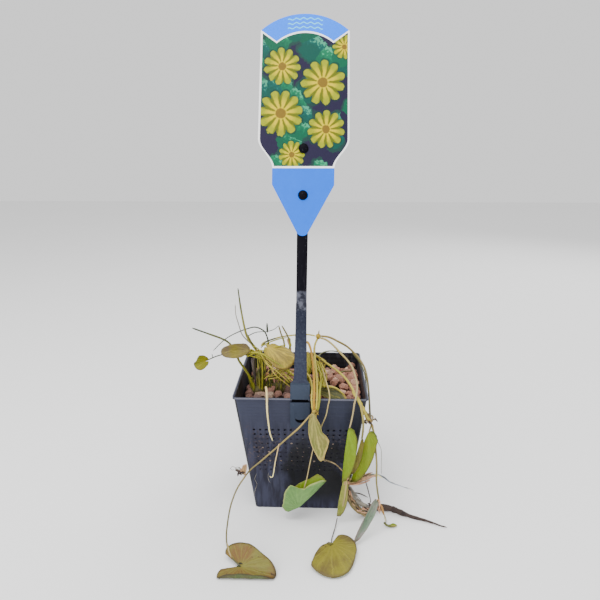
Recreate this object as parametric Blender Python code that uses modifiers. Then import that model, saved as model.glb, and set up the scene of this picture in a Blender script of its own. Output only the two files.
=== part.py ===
"""Yellow floating heart in a one-litre pond basket, with its picture label on a stake.

The origin is the middle of the pot's underside, +Z is up and -Y is the label's side.
All sizes in this file are millimetres; scale() turns them into metres as meshes are made.
"""
import math
import random

import bmesh
import bpy
from mathutils import Matrix, Vector

OBJECT_NAME = "yellow_floating_heart"
GAP = 0.3

# Pot: a square basket that tapers to its foot, with a thin lip round the top
POT_HEIGHT = 110.0
POT_RIM = 110.0
POT_FOOT = 79.0
POT_LIP_OUT = 1.1
POT_LIP_HEIGHT = 2.2
POT_WALL = 1.3
POT_CORNER_FRACTION = 0.08

# What the pot holds
COMPOST_TOP = 81.0
BED_LEVEL = 97.0
STONE_COUNT = 90
STONE_RADIUS = (4.5, 7.0)
STONE_RISE = 5.0
BED_CELLS = 26
LEVEL_CELLS = 4

# Holder: clip over the front rim, plate, stake and two studs, moulded in one
CLIP_HALF_WIDTH = 8.0
CLIP_PLATE = 2.2
CLIP_PLATE_LENGTH = 24.0
CLIP_LEG_LENGTH = 8.4
CLIP_TOP = 2.6
CLIP_STEP = 0.3
NECK_LENGTH = 14.5
NECK_TAPER = 8.0
STAKE_LEAN = math.radians(10.0)
STAKE_ROLL = math.radians(0.5)
STAKE_HALF_LOW = 4.3
STAKE_HALF_HIGH = 3.8
STAKE_THICK = 2.6
STAKE_LENGTH = 206.0
STUD_HEIGHTS = (161.2, 196.7)
STUD_SHANK = 2.0
STUD_HEAD = 3.6
STUD_DOME = 0.62
STUD_HEAD_DEPTH = 1.6

# Label: a thin card with an arched head, curved shoulders and a pointed tongue
LABEL_TIP = 129.8
LABEL_TIP_RADIUS = 5.0
LABEL_TONGUE_TOP = 169.0
LABEL_TONGUE_HALF = 24.0
LABEL_SHOULDER = (181.8, 204.0)
SHOULDER_STEPS = 7
LABEL_HALF_LOW = 35.2
LABEL_HALF_TOP = 33.6
LABEL_CORNER = 284.0
LABEL_APEX = 296.4
LABEL_THICK = 0.8
LABEL_HOLE = 2.5

# Plant
TUBE_STEP = 7.0
LEAF_THICK = 0.7
LEAF_SPOKES = 9
LEAF_RINGS = 3
SINUS = math.radians(158.0)
LOBE_START = 0.8
LOBE_ROUNDING = 0.3
RAGGED_STEP = 4.3


class Stem:
    """A round stem or root: thickness at its foot and at its tip, and its route."""

    def __init__(self, finish, foot, tip, route):
        self.finish = finish
        self.foot = foot
        self.tip = tip
        self.route = route


class Leaf:
    """A heart-shaped blade, hinged along its midrib.

    stalk and tip are the midrib's ends, facing is the side that both halves fold towards.
    Each half is (half width, fold in degrees, further curl in degrees), and lobes are how far
    the halves reach back behind the stalk, as shares of the midrib's length.
    """

    def __init__(self, finish, stalk, tip, facing, left, right, lobes, bend=0.0, ragged=0.0):
        self.finish = finish
        self.stalk = Vector(stalk)
        self.tip = Vector(tip)
        self.facing = Vector(facing)
        self.halves = (left, right)
        self.lobes = lobes
        self.bend = math.radians(bend)
        self.ragged = ragged


FINISHES = {
    "pot_plastic": ((0.055, 0.062, 0.100), 0.45),
    "holder_plastic": ((0.030, 0.034, 0.055), 0.40),
    "label_card": ((0.240, 0.460, 0.780), 0.35),
    "wet_compost": ((0.050, 0.035, 0.025), 0.95),
    "pink_gravel": ((0.300, 0.200, 0.150), 0.85),
    "crown_brown": ((0.120, 0.110, 0.040), 0.70),
    "stem_green": ((0.200, 0.260, 0.060), 0.55),
    "stem_yellow": ((0.480, 0.400, 0.150), 0.55),
    "root_pale": ((0.620, 0.560, 0.380), 0.60),
    "root_brown": ((0.100, 0.070, 0.050), 0.80),
    "leaf_green": ((0.250, 0.380, 0.050), 0.50),
    "leaf_olive": ((0.330, 0.330, 0.080), 0.55),
    "leaf_yellow": ((0.420, 0.380, 0.120), 0.55),
    "leaf_glaucous": ((0.270, 0.400, 0.260), 0.55),
}

# Crowns stand in the gravel: centre, half length, half depth, height
CROWNS = {
    "crown_left": ((-38.8, -8.0), 7.2, 7.0, 5.0),
    "crown_middle": ((-19.5, -3.0), 11.0, 6.5, 5.0),
    "crown_right": ((9.0, -1.0), 14.0, 11.0, 5.0),
}

# Joints of the runners, where stems meet: centre and half sizes
JOINTS = {
    "joint_left": ((-37.5, -8.0, 132.6), (3.2, 2.6, 2.0)),
    "joint_top": ((14.3, 10.0, 141.2), (2.4, 2.2, 2.4)),
    "joint_front": ((12.2, -62.2, 102.4), (3.6, 2.0, 2.4)),
    "joint_right": ((56.7, -55.0, 90.1), (3.0, 2.6, 2.8)),
}

STEMS = {
    "stem_tuft_outer": Stem("stem_green", 2.6, 1.8, [
        (-39, -9, 104), (-41.5, -9, 114), (-42, -9, 124), (-40, -9, 130)]),
    "stem_tuft_middle": Stem("stem_green", 2.6, 1.8, [
        (-37, -5, 104), (-36, -5.5, 114), (-37, -7, 129.6)]),
    "stem_tuft_inner": Stem("stem_green", 2.4, 1.6, [
        (-34.5, -9, 104), (-32.8, -10.5, 117), (-34.2, -9.5, 129.5)]),
    "stem_tall": Stem("stem_green", 2.4, 1.0, [
        (-40, -8, 135.4), (-43, -7, 139), (-46, -6, 142.5), (-48.5, -5, 148), (-50.5, -4, 156.5),
        (-53, -3, 171.5), (-55, -2, 188)]),
    "stem_thin": Stem("stem_green", 1.2, 0.7, [
        (-41, -3, 136), (-47, 0, 139), (-53, 2, 145), (-56, 2, 155), (-58, 1, 164), (-58, 0, 173)]),
    "stem_low_left": Stem("stem_green", 2.4, 1.4, [
        (-41.5, -12, 104), (-45, -14, 111), (-49, -15, 119), (-54, -16, 127.5),
        (-57.5, -16, 137), (-62.5, -15.5, 143.5), (-69, -15, 147), (-80, -13.5, 150.5), (-94, -12, 155)]),
    "stem_arch": Stem("stem_green", 1.6, 0.8, [
        (-28, -3, 104), (-29, 0, 117), (-29.5, 3, 134), (-32, 4, 145), (-36, 5, 149),
        (-42, 5, 151), (-50, 5, 149), (-60, 4, 145), (-69, 1, 140), (-78, -5, 132)]),
    "stem_far_leaf": Stem("stem_yellow", 1.3, 1.0, [
        (-42, -5, 132), (-52, -8, 133.5), (-64, -10.5, 132), (-74, -12, 129.5), (-79, -11.4, 127.6)]),
    "stem_runner": Stem("stem_yellow", 1.6, 1.4, [
        (-35.5, -5, 137), (-35, 5, 136), (-31, 12, 136), (-20, 14, 139), (-7, 14, 141),
        (4, 13, 142), (11, 11, 141.3)]),
    "stem_mid_outer": Stem("stem_green", 2.0, 1.3, [
        (-22, -2, 104), (-17, 2, 120), (-16, 6, 135), (-19, 8.5, 144), (-21, 9.5, 151)]),
    "stem_mid_inner": Stem("stem_green", 2.0, 1.3, [
        (-14, -4, 104), (-11, 0, 120), (-11, 2, 136), (-13, 3, 144), (-18, 4, 153)]),
    "stem_low_cross": Stem("stem_yellow", 2.0, 1.6, [
        (-33, -7.5, 131), (-25, -12, 124), (-16, -16, 120), (-5, -20, 115), (3, -23.5, 112), (11, -26, 110)]),
    "stem_dry": Stem("stem_yellow", 2.2, 1.6, [
        (-36, 12, 106), (-27, 7, 105.5), (-19, 5, 105.5), (-8, 3, 106.5)]),
    "stem_bundle_back": Stem("stem_yellow", 1.9, 1.7, [
        (13, 7.5, 138), (11, -4, 136), (11.5, -20, 131), (13, -40, 124.5), (13.5, -54, 117.5),
        (13.5, -60, 111.5), (13.2, -62.4, 106.2)]),
    "stem_bundle_arch": Stem("stem_yellow", 1.9, 1.7, [
        (1, -3, 104), (0, 0, 117), (1, -2, 133), (4.5, -8, 142), (8, -20, 139.5), (10.5, -41, 129.5),
        (11.4, -56, 119), (11.3, -61.2, 112.5), (11.1, -62.8, 106.4)]),
    "stem_bundle_left": Stem("stem_yellow", 1.8, 1.6, [
        (-1, -8, 104), (1, -20, 115.5), (6, -33, 122), (9, -46, 120.5), (9.6, -54, 117),
        (9.4, -59.5, 112.5), (9.0, -62, 106)]),
    "stem_bundle_right": Stem("stem_green", 1.9, 1.7, [
        (18, -5, 104), (17.6, -17, 114), (16.8, -36, 118.5), (15.7, -54, 116.4), (15.5, -59.6, 111.5),
        (15.2, -62, 105.6)]),
    "stem_long_left": Stem("stem_yellow", 2.6, 1.5, [
        (8.6, -62.6, 99.8), (4.5, -63.5, 95.2), (-1, -66.5, 90), (-10, -68, 82), (-19, -70, 74), (-31, -71, 63),
        (-39, -72, 56), (-45, -73, 48), (-50, -75, 40), (-54, -78, 30), (-56, -82, 21), (-57, -87, 12),
        (-56.5, -93, 5), (-53.5, -100, 2.0), (-49, -107, 1.5), (-45.5, -112, 1.4)]),
    "stem_leaf_folded": Stem("stem_yellow", 1.6, 1.2, [
        (17, 5, 104), (16, -8, 116), (18, -24, 123), (21, -46, 121), (23, -55, 117), (23.6, -58.4, 112.5),
        (22.5, -59, 107), (21, -58.5, 98), (17.5, -57.5, 88), (13.5, -57, 76), (10.4, -57, 65),
        (8, -57.5, 53), (6, -58.5, 42), (3.2, -60, 31), (1.4, -60, 23)]),
    "stem_right_back": Stem("stem_green", 1.8, 1.4, [
        (17.6, 10, 142), (24, 12, 140), (31, 14, 136), (40, 17, 130), (46, 19, 124), (52, 16, 118),
        (57, 8, 112), (59, -6, 108), (59.3, -21, 103), (58.6, -33, 99), (57.6, -43, 95.5), (57.4, -50, 93.8)]),
    "stem_right_mid": Stem("stem_yellow", 1.8, 1.4, [
        (16.5, 7, 140), (21, 5, 140), (27, 0, 137), (33, -8, 133), (39, -16, 129), (43, -24, 125.5),
        (45, -34, 121.5), (46, -45, 118.5), (45.3, -54, 117), (44.4, -60, 115), (43, -62.5, 110),
        (42, -63, 102), (41, -63, 92)]),
    "stem_right_front": Stem("stem_yellow", 2.4, 2.0, [
        (6, 4, 104), (7, 2, 116), (12, -3, 127), (23, -14, 124), (30, -22, 122), (37, -32, 119),
        (42, -44, 115.5), (44.6, -51, 113.2), (47.5, -57, 111.4), (51, -59.5, 106), (54, -58.5, 98.5),
        (55.6, -57, 94.6)]),
    "stem_sliver": Stem("stem_green", 1.4, 1.2, [
        (48.5, -62.2, 104), (50, -63, 98), (50.4, -63, 89), (50, -63, 80.5)]),
    "stem_down_right": Stem("stem_yellow", 1.7, 1.3, [
        (58.5, -52.6, 85.6), (61, -53, 76), (62, -54, 65), (63, -56, 53), (63, -58, 40), (64, -60, 31), (65, -62, 27)]),
    "stem_tiny_leaf": Stem("stem_yellow", 1.0, 0.8, [
        (66.5, -60.5, 22), (69, -60.5, 14), (71, -60, 6), (71.5, -60, 3.5)]),
    "stem_floor_right": Stem("root_brown", 0.9, 0.8, [
        (31.6, -61.5, 3.2), (29.5, -67, 1.4), (27.5, -76, 1.2), (26.3, -82, 1.3), (25.9, -87.5, 2.0)]),
    "stem_low_right": Stem("stem_yellow", 1.8, 1.4, [
        (38.6, -55.6, 36.8), (38.2, -55.6, 27), (41, -54, 17), (45, -52, 9), (50, -51, 4), (55.6, -50.4, 1.4)]),
    "root_over_rim": Stem("root_pale", 2.8, 1.4, [
        (-28.5, -32, 106), (-28.5, -39, 111), (-28, -46.5, 116), (-26.8, -54, 116), (-26.2, -58.3, 112),
        (-26, -60, 102), (-25.2, -60, 92), (-24, -60, 82), (-22, -59, 75)]),
    "root_side": Stem("root_pale", 1.6, 1.0, [
        (-17.6, -71.2, 71.4), (-18, -71, 67), (-19.6, -70.5, 57), (-21, -70, 50), (-23, -69.5, 48)]),
    "root_right": Stem("root_pale", 2.6, 0.8, [
        (44, -53, 36), (51, -52, 38), (55, -51, 40), (62, -50, 40), (69, -49, 38), (76, -48, 32),
        (85, -47, 28), (92, -47, 25)]),
    "dry_strap": Stem("root_brown", 5.0, 1.0, [
        (54.5, -45, 3.0), (62, -41, 3.0), (72, -38, 2.9), (80, -41, 2.6), (92, -48.5, 2.0),
        (105, -54, 1.4), (112, -58, 1.1), (122, -64, 0.9)]),
}

LEAVES = {
    "leaf_far_left": Leaf("leaf_olive", (-81.6, -13, 126.2), (-91.5, -13.5, 122), (0.1, -1, 0.3),
                          (6.2, 20, 15), (5.4, 25, 15), lobes=(0.4, 0.4)),
    "leaf_left": Leaf("leaf_yellow", (-43.0, -21, 143.0), (-66.5, -24, 141.6), (0.05, 0.1, -1),
                      (8.5, 68, 10), (8.0, 64, 8), lobes=(0.1, 0.1), bend=-14),
    "leaf_middle": Leaf("leaf_yellow", (-29.0, -15, 139.5), (-4.5, -21, 132.5), (0.1, -0.55, 0.83),
                        (9.5, -12, -20), (10.5, -14, -22), lobes=(0.12, 0.12), bend=-20),
    "leaf_upright": Leaf("leaf_yellow", (4.6, -12, 113), (5.6, -12.5, 133), (-1, -0.3, 0.1),
                         (6.0, 60, 10), (6.0, 55, 10), lobes=(0.1, 0.1), bend=8),
    "leaf_pale": Leaf("leaf_yellow", (22.5, -9, 106), (23.5, -8, 121.5), (0.9, -0.5, 0.1),
                      (5.5, 45, 12), (5.5, 50, 12), lobes=(0.1, 0.1), bend=-10),
    "leaf_on_gravel": Leaf("leaf_olive", (13.5, -29.5, 108.6), (38, -41, 106.5), (0.1, 0.25, 1),
                           (6.5, 22, 10), (6.5, 18, 10), lobes=(0.1, 0.1), bend=-12),
    "leaf_ragged": Leaf("leaf_olive", (12.0, -68.5, 98.4), (15.4, -69.5, 63), (0.15, 1, 0.1),
                        (10.5, 20, 36), (11.5, 20, 36), lobes=(0.02, 0.02), bend=-12, ragged=0.7),
    "leaf_folded": Leaf("leaf_glaucous", (-1.0, -60, 14.4), (21.4, -61.5, 40.6), (-0.75, 0.05, 0.66),
                        (15.5, 60, 8), (14.0, 66, 10), lobes=(0.52, 0.45), bend=6),
    "leaf_long_front": Leaf("leaf_green", (38.6, -67.5, 88.5), (35.6, -66, 43.0), (1, 0.05, 0.1),
                            (10.0, 70, 8), (9.0, 70, 6), lobes=(0.04, 0.04), bend=6),
    "leaf_sliver": Leaf("leaf_olive", (49.4, -61.2, 78), (41.6, -60, 46), (0.95, 0.1, -0.2),
                        (4.6, 70, 6), (4.4, 68, 6), lobes=(0.04, 0.04)),
    "leaf_long_back": Leaf("leaf_olive", (55.2, -57, 84.5), (41.6, -55.5, 41), (0.95, 0.1, -0.28),
                           (10.0, 68, 6), (9.5, 68, 6), lobes=(0.05, 0.05), bend=10),
    "leaf_narrow": Leaf("leaf_olive", (33.4, -61, 42.0), (31.2, -58.5, 5.6), (1, 0, 0),
                        (7.0, 64, 8), (6.5, 60, 8), lobes=(0.03, 0.03), bend=8),
    "leaf_blue_green": Leaf("leaf_glaucous", (63.2, -64, 24.0), (44.5, -88, 1.7), (0.62, -0.3, 0.5),
                            (7.4, 58, 8), (6.8, 60, 8), lobes=(0.06, 0.06), bend=6),
    "leaf_floor_left": Leaf("leaf_olive", (-42.5, -114.5, 2.9), (-15.0, -126.5, 2.6), (0, 0, 1),
                            (15.5, 34, 6), (17.0, -17, 60), lobes=(0.78, 0.85), bend=4),
    "leaf_floor_right": Leaf("leaf_olive", (26.0, -92.0, 4.4), (25.5, -126, 1.8), (0.02, 0, 1),
                             (19.0, 8, -20), (15.0, 6, -14), lobes=(0.45, 0.05), bend=-8),
    "leaf_tiny": Leaf("leaf_yellow", (71.5, -61.5, 1.7), (81, -64.5, 1.6), (0, 0, 1),
                      (2.2, 25, 10), (2.2, 25, 10), lobes=(0.1, 0.1)),
}


def remove_everything():
    """Clear the objects and collections that the file opened with."""
    for thing in list(bpy.data.objects):
        bpy.data.objects.remove(thing, do_unlink=True)
    for group in list(bpy.data.collections):
        bpy.data.collections.remove(group)


def add_collection(name):
    group = bpy.data.collections.new(name)
    bpy.context.scene.collection.children.link(group)
    return group


def make_material(name, colour, roughness):
    finish = bpy.data.materials.new(name)
    finish.use_nodes = True
    shader = finish.node_tree.nodes["Principled BSDF"]
    shader.inputs["Base Color"].default_value = (*colour, 1.0)
    shader.inputs["Roughness"].default_value = roughness
    shader.inputs["Metallic"].default_value = 0.0
    finish.diffuse_color = (*colour, 1.0)
    return finish


def scale(values):
    """Millimetres to metres."""
    return Vector(values) * 0.001


def add_object(name, data, finish, group):
    thing = bpy.data.objects.new(name, data)
    data.materials.append(finish)
    group.objects.link(thing)
    return thing


def finish_mesh(bm, name, closed=True):
    """Turn a bmesh in millimetres into a mesh in metres; a closed one gets outward faces."""
    if closed:
        bmesh.ops.recalc_face_normals(bm, faces=bm.faces)
    bmesh.ops.scale(bm, vec=(0.001, 0.001, 0.001), verts=bm.verts)
    data = bpy.data.meshes.new(name)
    bm.to_mesh(data)
    bm.free()
    data.shade_smooth()
    data.set_sharp_from_angle(angle=math.radians(35.0))
    return data


def bmesh_box(size, middle, turn=None):
    """A box of the given size, turned by a matrix and then set at its middle."""
    bm = bmesh.new()
    bmesh.ops.create_cube(bm, size=1.0)
    bmesh.ops.scale(bm, vec=size, verts=bm.verts)
    bmesh.ops.translate(bm, vec=middle, verts=bm.verts)
    if turn is not None:
        bmesh.ops.transform(bm, matrix=turn, verts=bm.verts)
    return bm


def pot_half(height):
    """Half of the pot's outer width at a height, below its lip."""
    slope = (POT_RIM / 2 - POT_LIP_OUT - POT_FOOT / 2) / (POT_HEIGHT - POT_LIP_HEIGHT)
    return POT_FOOT / 2 + slope * height


def pot_inside(height):
    """Half of the room inside the pot at a height, less the gap that loose things keep."""
    return pot_half(height) - POT_WALL - 2 * GAP


def build_pot(finish, group):
    """One open shell: foot, four walls and lip, given its thickness by Solidify."""
    bm = bmesh.new()
    bmesh.ops.create_cube(bm, size=2.0)
    body_top = POT_HEIGHT - POT_LIP_HEIGHT
    for vert in bm.verts:
        at_top = vert.co.z > 0
        half = pot_half(body_top) if at_top else pot_half(0.0)
        level = body_top if at_top else 0.0
        vert.co = Vector((math.copysign(half, vert.co.x), math.copysign(half, vert.co.y), level))
    lid = [face for face in bm.faces if face.normal.z > 0.9]
    bmesh.ops.delete(bm, geom=lid, context="FACES_ONLY")
    uprights = [edge for edge in bm.edges if abs(edge.verts[0].co.z - edge.verts[1].co.z) > 1.0]
    bmesh.ops.bevel(bm, geom=uprights, offset=POT_CORNER_FRACTION * POT_FOOT / 2, offset_type="OFFSET",
                    segments=2, profile=0.5, affect="EDGES")
    widen = (POT_RIM / 2) / pot_half(body_top)
    for spread, rise in ((widen, 0.0), (1.0, POT_LIP_HEIGHT)):
        mouth = [edge for edge in bm.edges if edge.is_boundary]
        lip = bmesh.ops.extrude_edge_only(bm, edges=mouth)
        verts = [item for item in lip["geom"] if isinstance(item, bmesh.types.BMVert)]
        bmesh.ops.scale(bm, vec=(spread, spread, 1.0), verts=verts)
        bmesh.ops.translate(bm, vec=(0.0, 0.0, rise), verts=verts)
    pot = add_object("pot", finish_mesh(bm, "pot"), finish, group)
    wall = pot.modifiers.new("wall", "SOLIDIFY")
    wall.thickness = POT_WALL * 0.001
    wall.offset = -1.0
    wall.use_even_offset = True


def round_corner(x, y, half, radius):
    """Pull a point of a square's plan inside the square's rounded corner."""
    inner = half - radius
    over = Vector((max(abs(x) - inner, 0.0), max(abs(y) - inner, 0.0)))
    if over.length > radius:
        over *= radius / over.length
    x = math.copysign(min(abs(x), inner) + over.x, x)
    y = math.copysign(min(abs(y), inner) + over.y, y)
    return x, y


def stones():
    """Where the larger stones of the bed sit: centre and radius, the same on every run."""
    chance = random.Random(11)
    reach = pot_inside(BED_LEVEL) - STONE_RADIUS[0]
    beds = []
    for _ in range(STONE_COUNT):
        centre = (chance.uniform(-reach, reach), chance.uniform(-reach, reach))
        beds.append((centre, chance.uniform(*STONE_RADIUS), chance.uniform(0.5, 1.0)))
    return beds


def bed_height(x, y, beds):
    """The gravel's height: round-topped stones on the bed, and a level pocket at each crown."""
    for (cx, cy), half_length, half_depth, _ in CROWNS.values():
        if math.hypot((x - cx) / (half_length + 5.0), (y - cy) / (half_depth + 5.0)) < 1.0:
            return BED_LEVEL
    height = BED_LEVEL
    for (cx, cy), radius, share in beds:
        away = math.hypot(x - cx, y - cy) / radius
        if away < 1.0:
            height = max(height, BED_LEVEL + share * STONE_RISE * math.sqrt(1.0 - away * away))
    return height


def build_filling(name, low, high, finish, group, beds=None):
    """Compost or gravel: a square plug that follows the pot's taper, lumpy where it has stones."""
    cells = BED_CELLS if beds else LEVEL_CELLS
    bm = bmesh.new()
    bmesh.ops.create_grid(bm, x_segments=cells, y_segments=cells, size=1.0)
    top = list(bm.verts)
    raised = bmesh.ops.extrude_face_region(bm, geom=list(bm.faces))
    floor = [item for item in raised["geom"] if isinstance(item, bmesh.types.BMVert)]
    radius = POT_CORNER_FRACTION * POT_FOOT
    for verts, level in ((top, high), (floor, low)):
        half = pot_inside(level)
        for vert in verts:
            x, y = round_corner(vert.co.x * half, vert.co.y * half, half, radius)
            rise = bed_height(x, y, beds) if beds and verts is top else level
            vert.co = Vector((x, y, rise))
    flat = [face for face in bm.faces if all(abs(vert.co.z - low) < 0.01 for vert in face.verts)]
    bmesh.ops.dissolve_faces(bm, faces=flat)
    add_object(name, finish_mesh(bm, name), finish, group)


def leaning(shift=(0.0, 0.0, 0.0)):
    """The stake's own frame: it starts on the front rim and leans back and a little sideways."""
    foot = Matrix.Translation(Vector((0.0, -POT_RIM / 2 - 1.0, POT_HEIGHT)))
    turn = Matrix.Rotation(STAKE_ROLL, 4, "Y") @ Matrix.Rotation(-STAKE_LEAN, 4, "X")
    return foot @ turn @ Matrix.Translation(Vector(shift))


def union(base, others):
    """Join helper solids to a base with Boolean modifiers, and hide the helpers."""
    for index, other in enumerate(others):
        other.hide_render = True
        other.display_type = "WIRE"
        join = base.modifiers.new(f"join_{index}", "BOOLEAN")
        join.operation = "UNION"
        join.solver = "EXACT"
        join.object = other


def add_stake_solid(name, outline, back, front, finish, group):
    """A solid in the stake's frame, from its outline as seen from the front."""
    bm = bmesh.new()
    face = bm.faces.new([bm.verts.new((x, back, z)) for x, z in outline])
    grown = bmesh.ops.extrude_face_region(bm, geom=[face])
    verts = [item for item in grown["geom"] if isinstance(item, bmesh.types.BMVert)]
    bmesh.ops.translate(bm, vec=(0.0, front - back, 0.0), verts=verts)
    bmesh.ops.transform(bm, matrix=leaning(), verts=bm.verts)
    return add_object(name, finish_mesh(bm, name), finish, group)


def add_stud(index, height, front, finish, group):
    """A stud on the stake: a shank through the label's hole and a domed head before the card."""
    shank_end = front - STUD_HEAD_DEPTH / 4
    shank = STAKE_THICK / 2 - shank_end
    solids = (("shank", STAKE_THICK / 2, shank, STUD_SHANK, STUD_SHANK),
              ("head", front, STUD_HEAD_DEPTH, STUD_HEAD * STUD_DOME, STUD_HEAD))
    pieces = []
    for word, start, depth, near, far in solids:
        bm = bmesh.new()
        bmesh.ops.create_cone(bm, cap_ends=True, segments=12, radius1=near, radius2=far,
                              depth=depth, matrix=Matrix.Translation((0.0, 0.0, -depth / 2)))
        place = leaning((0.0, start, height)) @ Matrix.Rotation(math.radians(-90.0), 4, "X")
        bmesh.ops.transform(bm, matrix=place, verts=bm.verts)
        pieces.append(add_object(f"{word}_{index}", finish_mesh(bm, f"{word}_{index}"), finish, group))
    return pieces


def build_holder(finish, group, cutters):
    """The clip's outer plate carries the rest: top, inner leg, neck, stake and studs join it."""
    wall_tilt = math.atan2(POT_RIM / 2 - POT_LIP_OUT - POT_FOOT / 2, POT_HEIGHT - POT_LIP_HEIGHT)
    reach = CLIP_PLATE_LENGTH + CLIP_TOP
    clear_of_lip = POT_RIM / 2 + GAP + (POT_LIP_HEIGHT + CLIP_TOP) * math.tan(wall_tilt)
    plate_turn = (Matrix.Translation(Vector((0.0, -clear_of_lip, POT_HEIGHT + CLIP_TOP)))
                  @ Matrix.Rotation(wall_tilt, 4, "X"))
    plate = bmesh_box((2 * CLIP_HALF_WIDTH, CLIP_PLATE, reach), (0.0, -CLIP_PLATE / 2, -reach / 2), plate_turn)
    holder = add_object("label_holder", finish_mesh(plate, "label_holder"), finish, group)
    inside = POT_RIM / 2 - POT_LIP_OUT - POT_WALL - 2.6 * GAP
    top_depth = clear_of_lip + CLIP_PLATE - inside + POT_WALL
    top_middle = (0.0, -inside + POT_WALL - top_depth / 2, POT_HEIGHT + GAP + CLIP_TOP / 2)
    top = bmesh_box((2 * (CLIP_HALF_WIDTH - CLIP_STEP), top_depth, CLIP_TOP), top_middle)
    leg_turn = (Matrix.Translation(Vector((0.0, -inside, POT_HEIGHT + GAP + CLIP_TOP / 2)))
                @ Matrix.Rotation(wall_tilt, 4, "X"))
    leg = bmesh_box((2 * (CLIP_HALF_WIDTH - 2 * CLIP_STEP), POT_WALL, CLIP_LEG_LENGTH),
                    (0.0, POT_WALL / 2, -CLIP_LEG_LENGTH / 2), leg_turn)
    pieces = [add_object("clip_top", finish_mesh(top, "clip_top"), finish, cutters),
              add_object("clip_leg", finish_mesh(leg, "clip_leg"), finish, cutters)]
    neck = CLIP_HALF_WIDTH - CLIP_STEP
    right = [(neck, CLIP_TOP / 2), (neck, NECK_LENGTH - NECK_TAPER / 2),
             (STAKE_HALF_LOW, NECK_LENGTH + NECK_TAPER / 2), (STAKE_HALF_HIGH, STAKE_LENGTH)]
    left = [(-x, z) for x, z in reversed(right)]
    pieces.append(add_stake_solid("stake", right + left, STAKE_THICK, 0.0, finish, cutters))
    for index, height in enumerate(STUD_HEIGHTS):
        pieces += add_stud(index, height, -LABEL_THICK - 2 * GAP, finish, cutters)
    union(holder, pieces)


def arc(centre, radius, start, end, steps):
    """Points along an arc, from one angle in degrees to another."""
    points = []
    for step in range(steps + 1):
        angle = math.radians(start + (end - start) * step / steps)
        points.append((centre[0] + radius * math.cos(angle), centre[1] + radius * math.sin(angle)))
    return points


def label_outline():
    """The card's right-hand side from the tip up to the apex; the left side mirrors it."""
    tip = arc((0.0, LABEL_TIP + LABEL_TIP_RADIUS), LABEL_TIP_RADIUS, -90.0, -36.0, 3)
    low, high = LABEL_SHOULDER
    shoulder = []
    for step in range(SHOULDER_STEPS + 1):
        share = step / SHOULDER_STEPS
        widening = 0.5 - 0.5 * math.cos(math.pi * share)
        x = LABEL_TONGUE_HALF + (LABEL_HALF_LOW - LABEL_TONGUE_HALF) * widening
        shoulder.append((x, low + (high - low) * share))
    rise = LABEL_APEX - LABEL_CORNER
    radius = (LABEL_HALF_TOP ** 2 + rise ** 2) / (2 * rise)
    spread = math.degrees(math.asin(LABEL_HALF_TOP / radius))
    head = arc((0.0, LABEL_APEX - radius), radius, 90.0 - spread, 90.0, 6)
    right = tip + [(LABEL_TONGUE_HALF, LABEL_TONGUE_TOP)] + shoulder + head
    left = [(-x, z) for x, z in reversed(right) if x > 0.01]
    return right + left


def build_label(finish, group):
    """A flat curve with two round holes for the studs, given the card's thickness."""
    flat = bpy.data.curves.new("label", "CURVE")
    flat.dimensions = "2D"
    flat.fill_mode = "BOTH"
    flat.extrude = LABEL_THICK * 0.0005
    holes = [arc((0.0, height), LABEL_HOLE, 0.0, 330.0, 11) for height in STUD_HEIGHTS]
    for outline in [label_outline()] + holes:
        spline = flat.splines.new("POLY")
        spline.points.add(len(outline) - 1)
        for point, (x, z) in zip(spline.points, outline):
            point.co = (x * 0.001, z * 0.001, 0.0, 1.0)
        spline.use_cyclic_u = True
    label = add_object("label", flat, finish, group)
    stand = leaning((0.0, -LABEL_THICK / 2 - GAP, 0.0)) @ Matrix.Rotation(math.radians(90.0), 4, "X")
    label.rotation_euler = stand.to_euler()
    label.location = scale(stand.translation)


def build_crown(name, spec, finish, group):
    """A low knuckle of old leaf bases, wider at its foot."""
    (x, y), half_length, half_depth, height = spec
    bm = bmesh.new()
    bmesh.ops.create_cone(bm, cap_ends=True, segments=12, radius1=1.0, radius2=0.82, depth=height)
    bmesh.ops.scale(bm, vec=(half_length, half_depth, 1.0), verts=bm.verts)
    bmesh.ops.translate(bm, vec=(x, y, BED_LEVEL + GAP + height / 2), verts=bm.verts)
    add_object(name, finish_mesh(bm, name), finish, group)


def build_joint(name, spec, finish, group):
    """A swollen joint on a runner."""
    centre, half_sizes = spec
    bm = bmesh.new()
    bmesh.ops.create_icosphere(bm, subdivisions=1, radius=1.0)
    bmesh.ops.scale(bm, vec=half_sizes, verts=bm.verts)
    bmesh.ops.translate(bm, vec=centre, verts=bm.verts)
    add_object(name, finish_mesh(bm, name), finish, group)


def smooth_route(route):
    """Points a few thicknesses apart on one smooth curve through the route's own points."""
    knots = [Vector(point) for point in route]
    knots = [2 * knots[0] - knots[1]] + knots + [2 * knots[-1] - knots[-2]]
    points = [knots[1]]
    for before, start, end, after in zip(knots, knots[1:], knots[2:], knots[3:]):
        steps = max(1, round((end - start).length / TUBE_STEP))
        for step in range(1, steps + 1):
            t = step / steps
            points.append(0.5 * (2 * start + (end - before) * t
                                 + (2 * before - 5 * start + 4 * end - after) * t ** 2
                                 + (3 * start - before - 3 * end + after) * t ** 3))
    return points


def build_stem(name, stem, finish, group):
    """A curve with a round bevel that thins from foot to tip."""
    points = smooth_route(stem.route)
    line = bpy.data.curves.new(name, "CURVE")
    line.dimensions = "3D"
    line.bevel_depth = stem.foot * 0.0005
    line.bevel_resolution = 1
    line.render_resolution_u = 0
    line.use_fill_caps = True
    spline = line.splines.new("POLY")
    spline.points.add(len(points) - 1)
    for index, (point, place) in enumerate(zip(spline.points, points)):
        share = index / (len(points) - 1)
        point.co = (*scale(place), 1.0)
        point.radius = 1.0 + (stem.tip / stem.foot - 1.0) * share
    add_object(name, line, finish, group)


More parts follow.
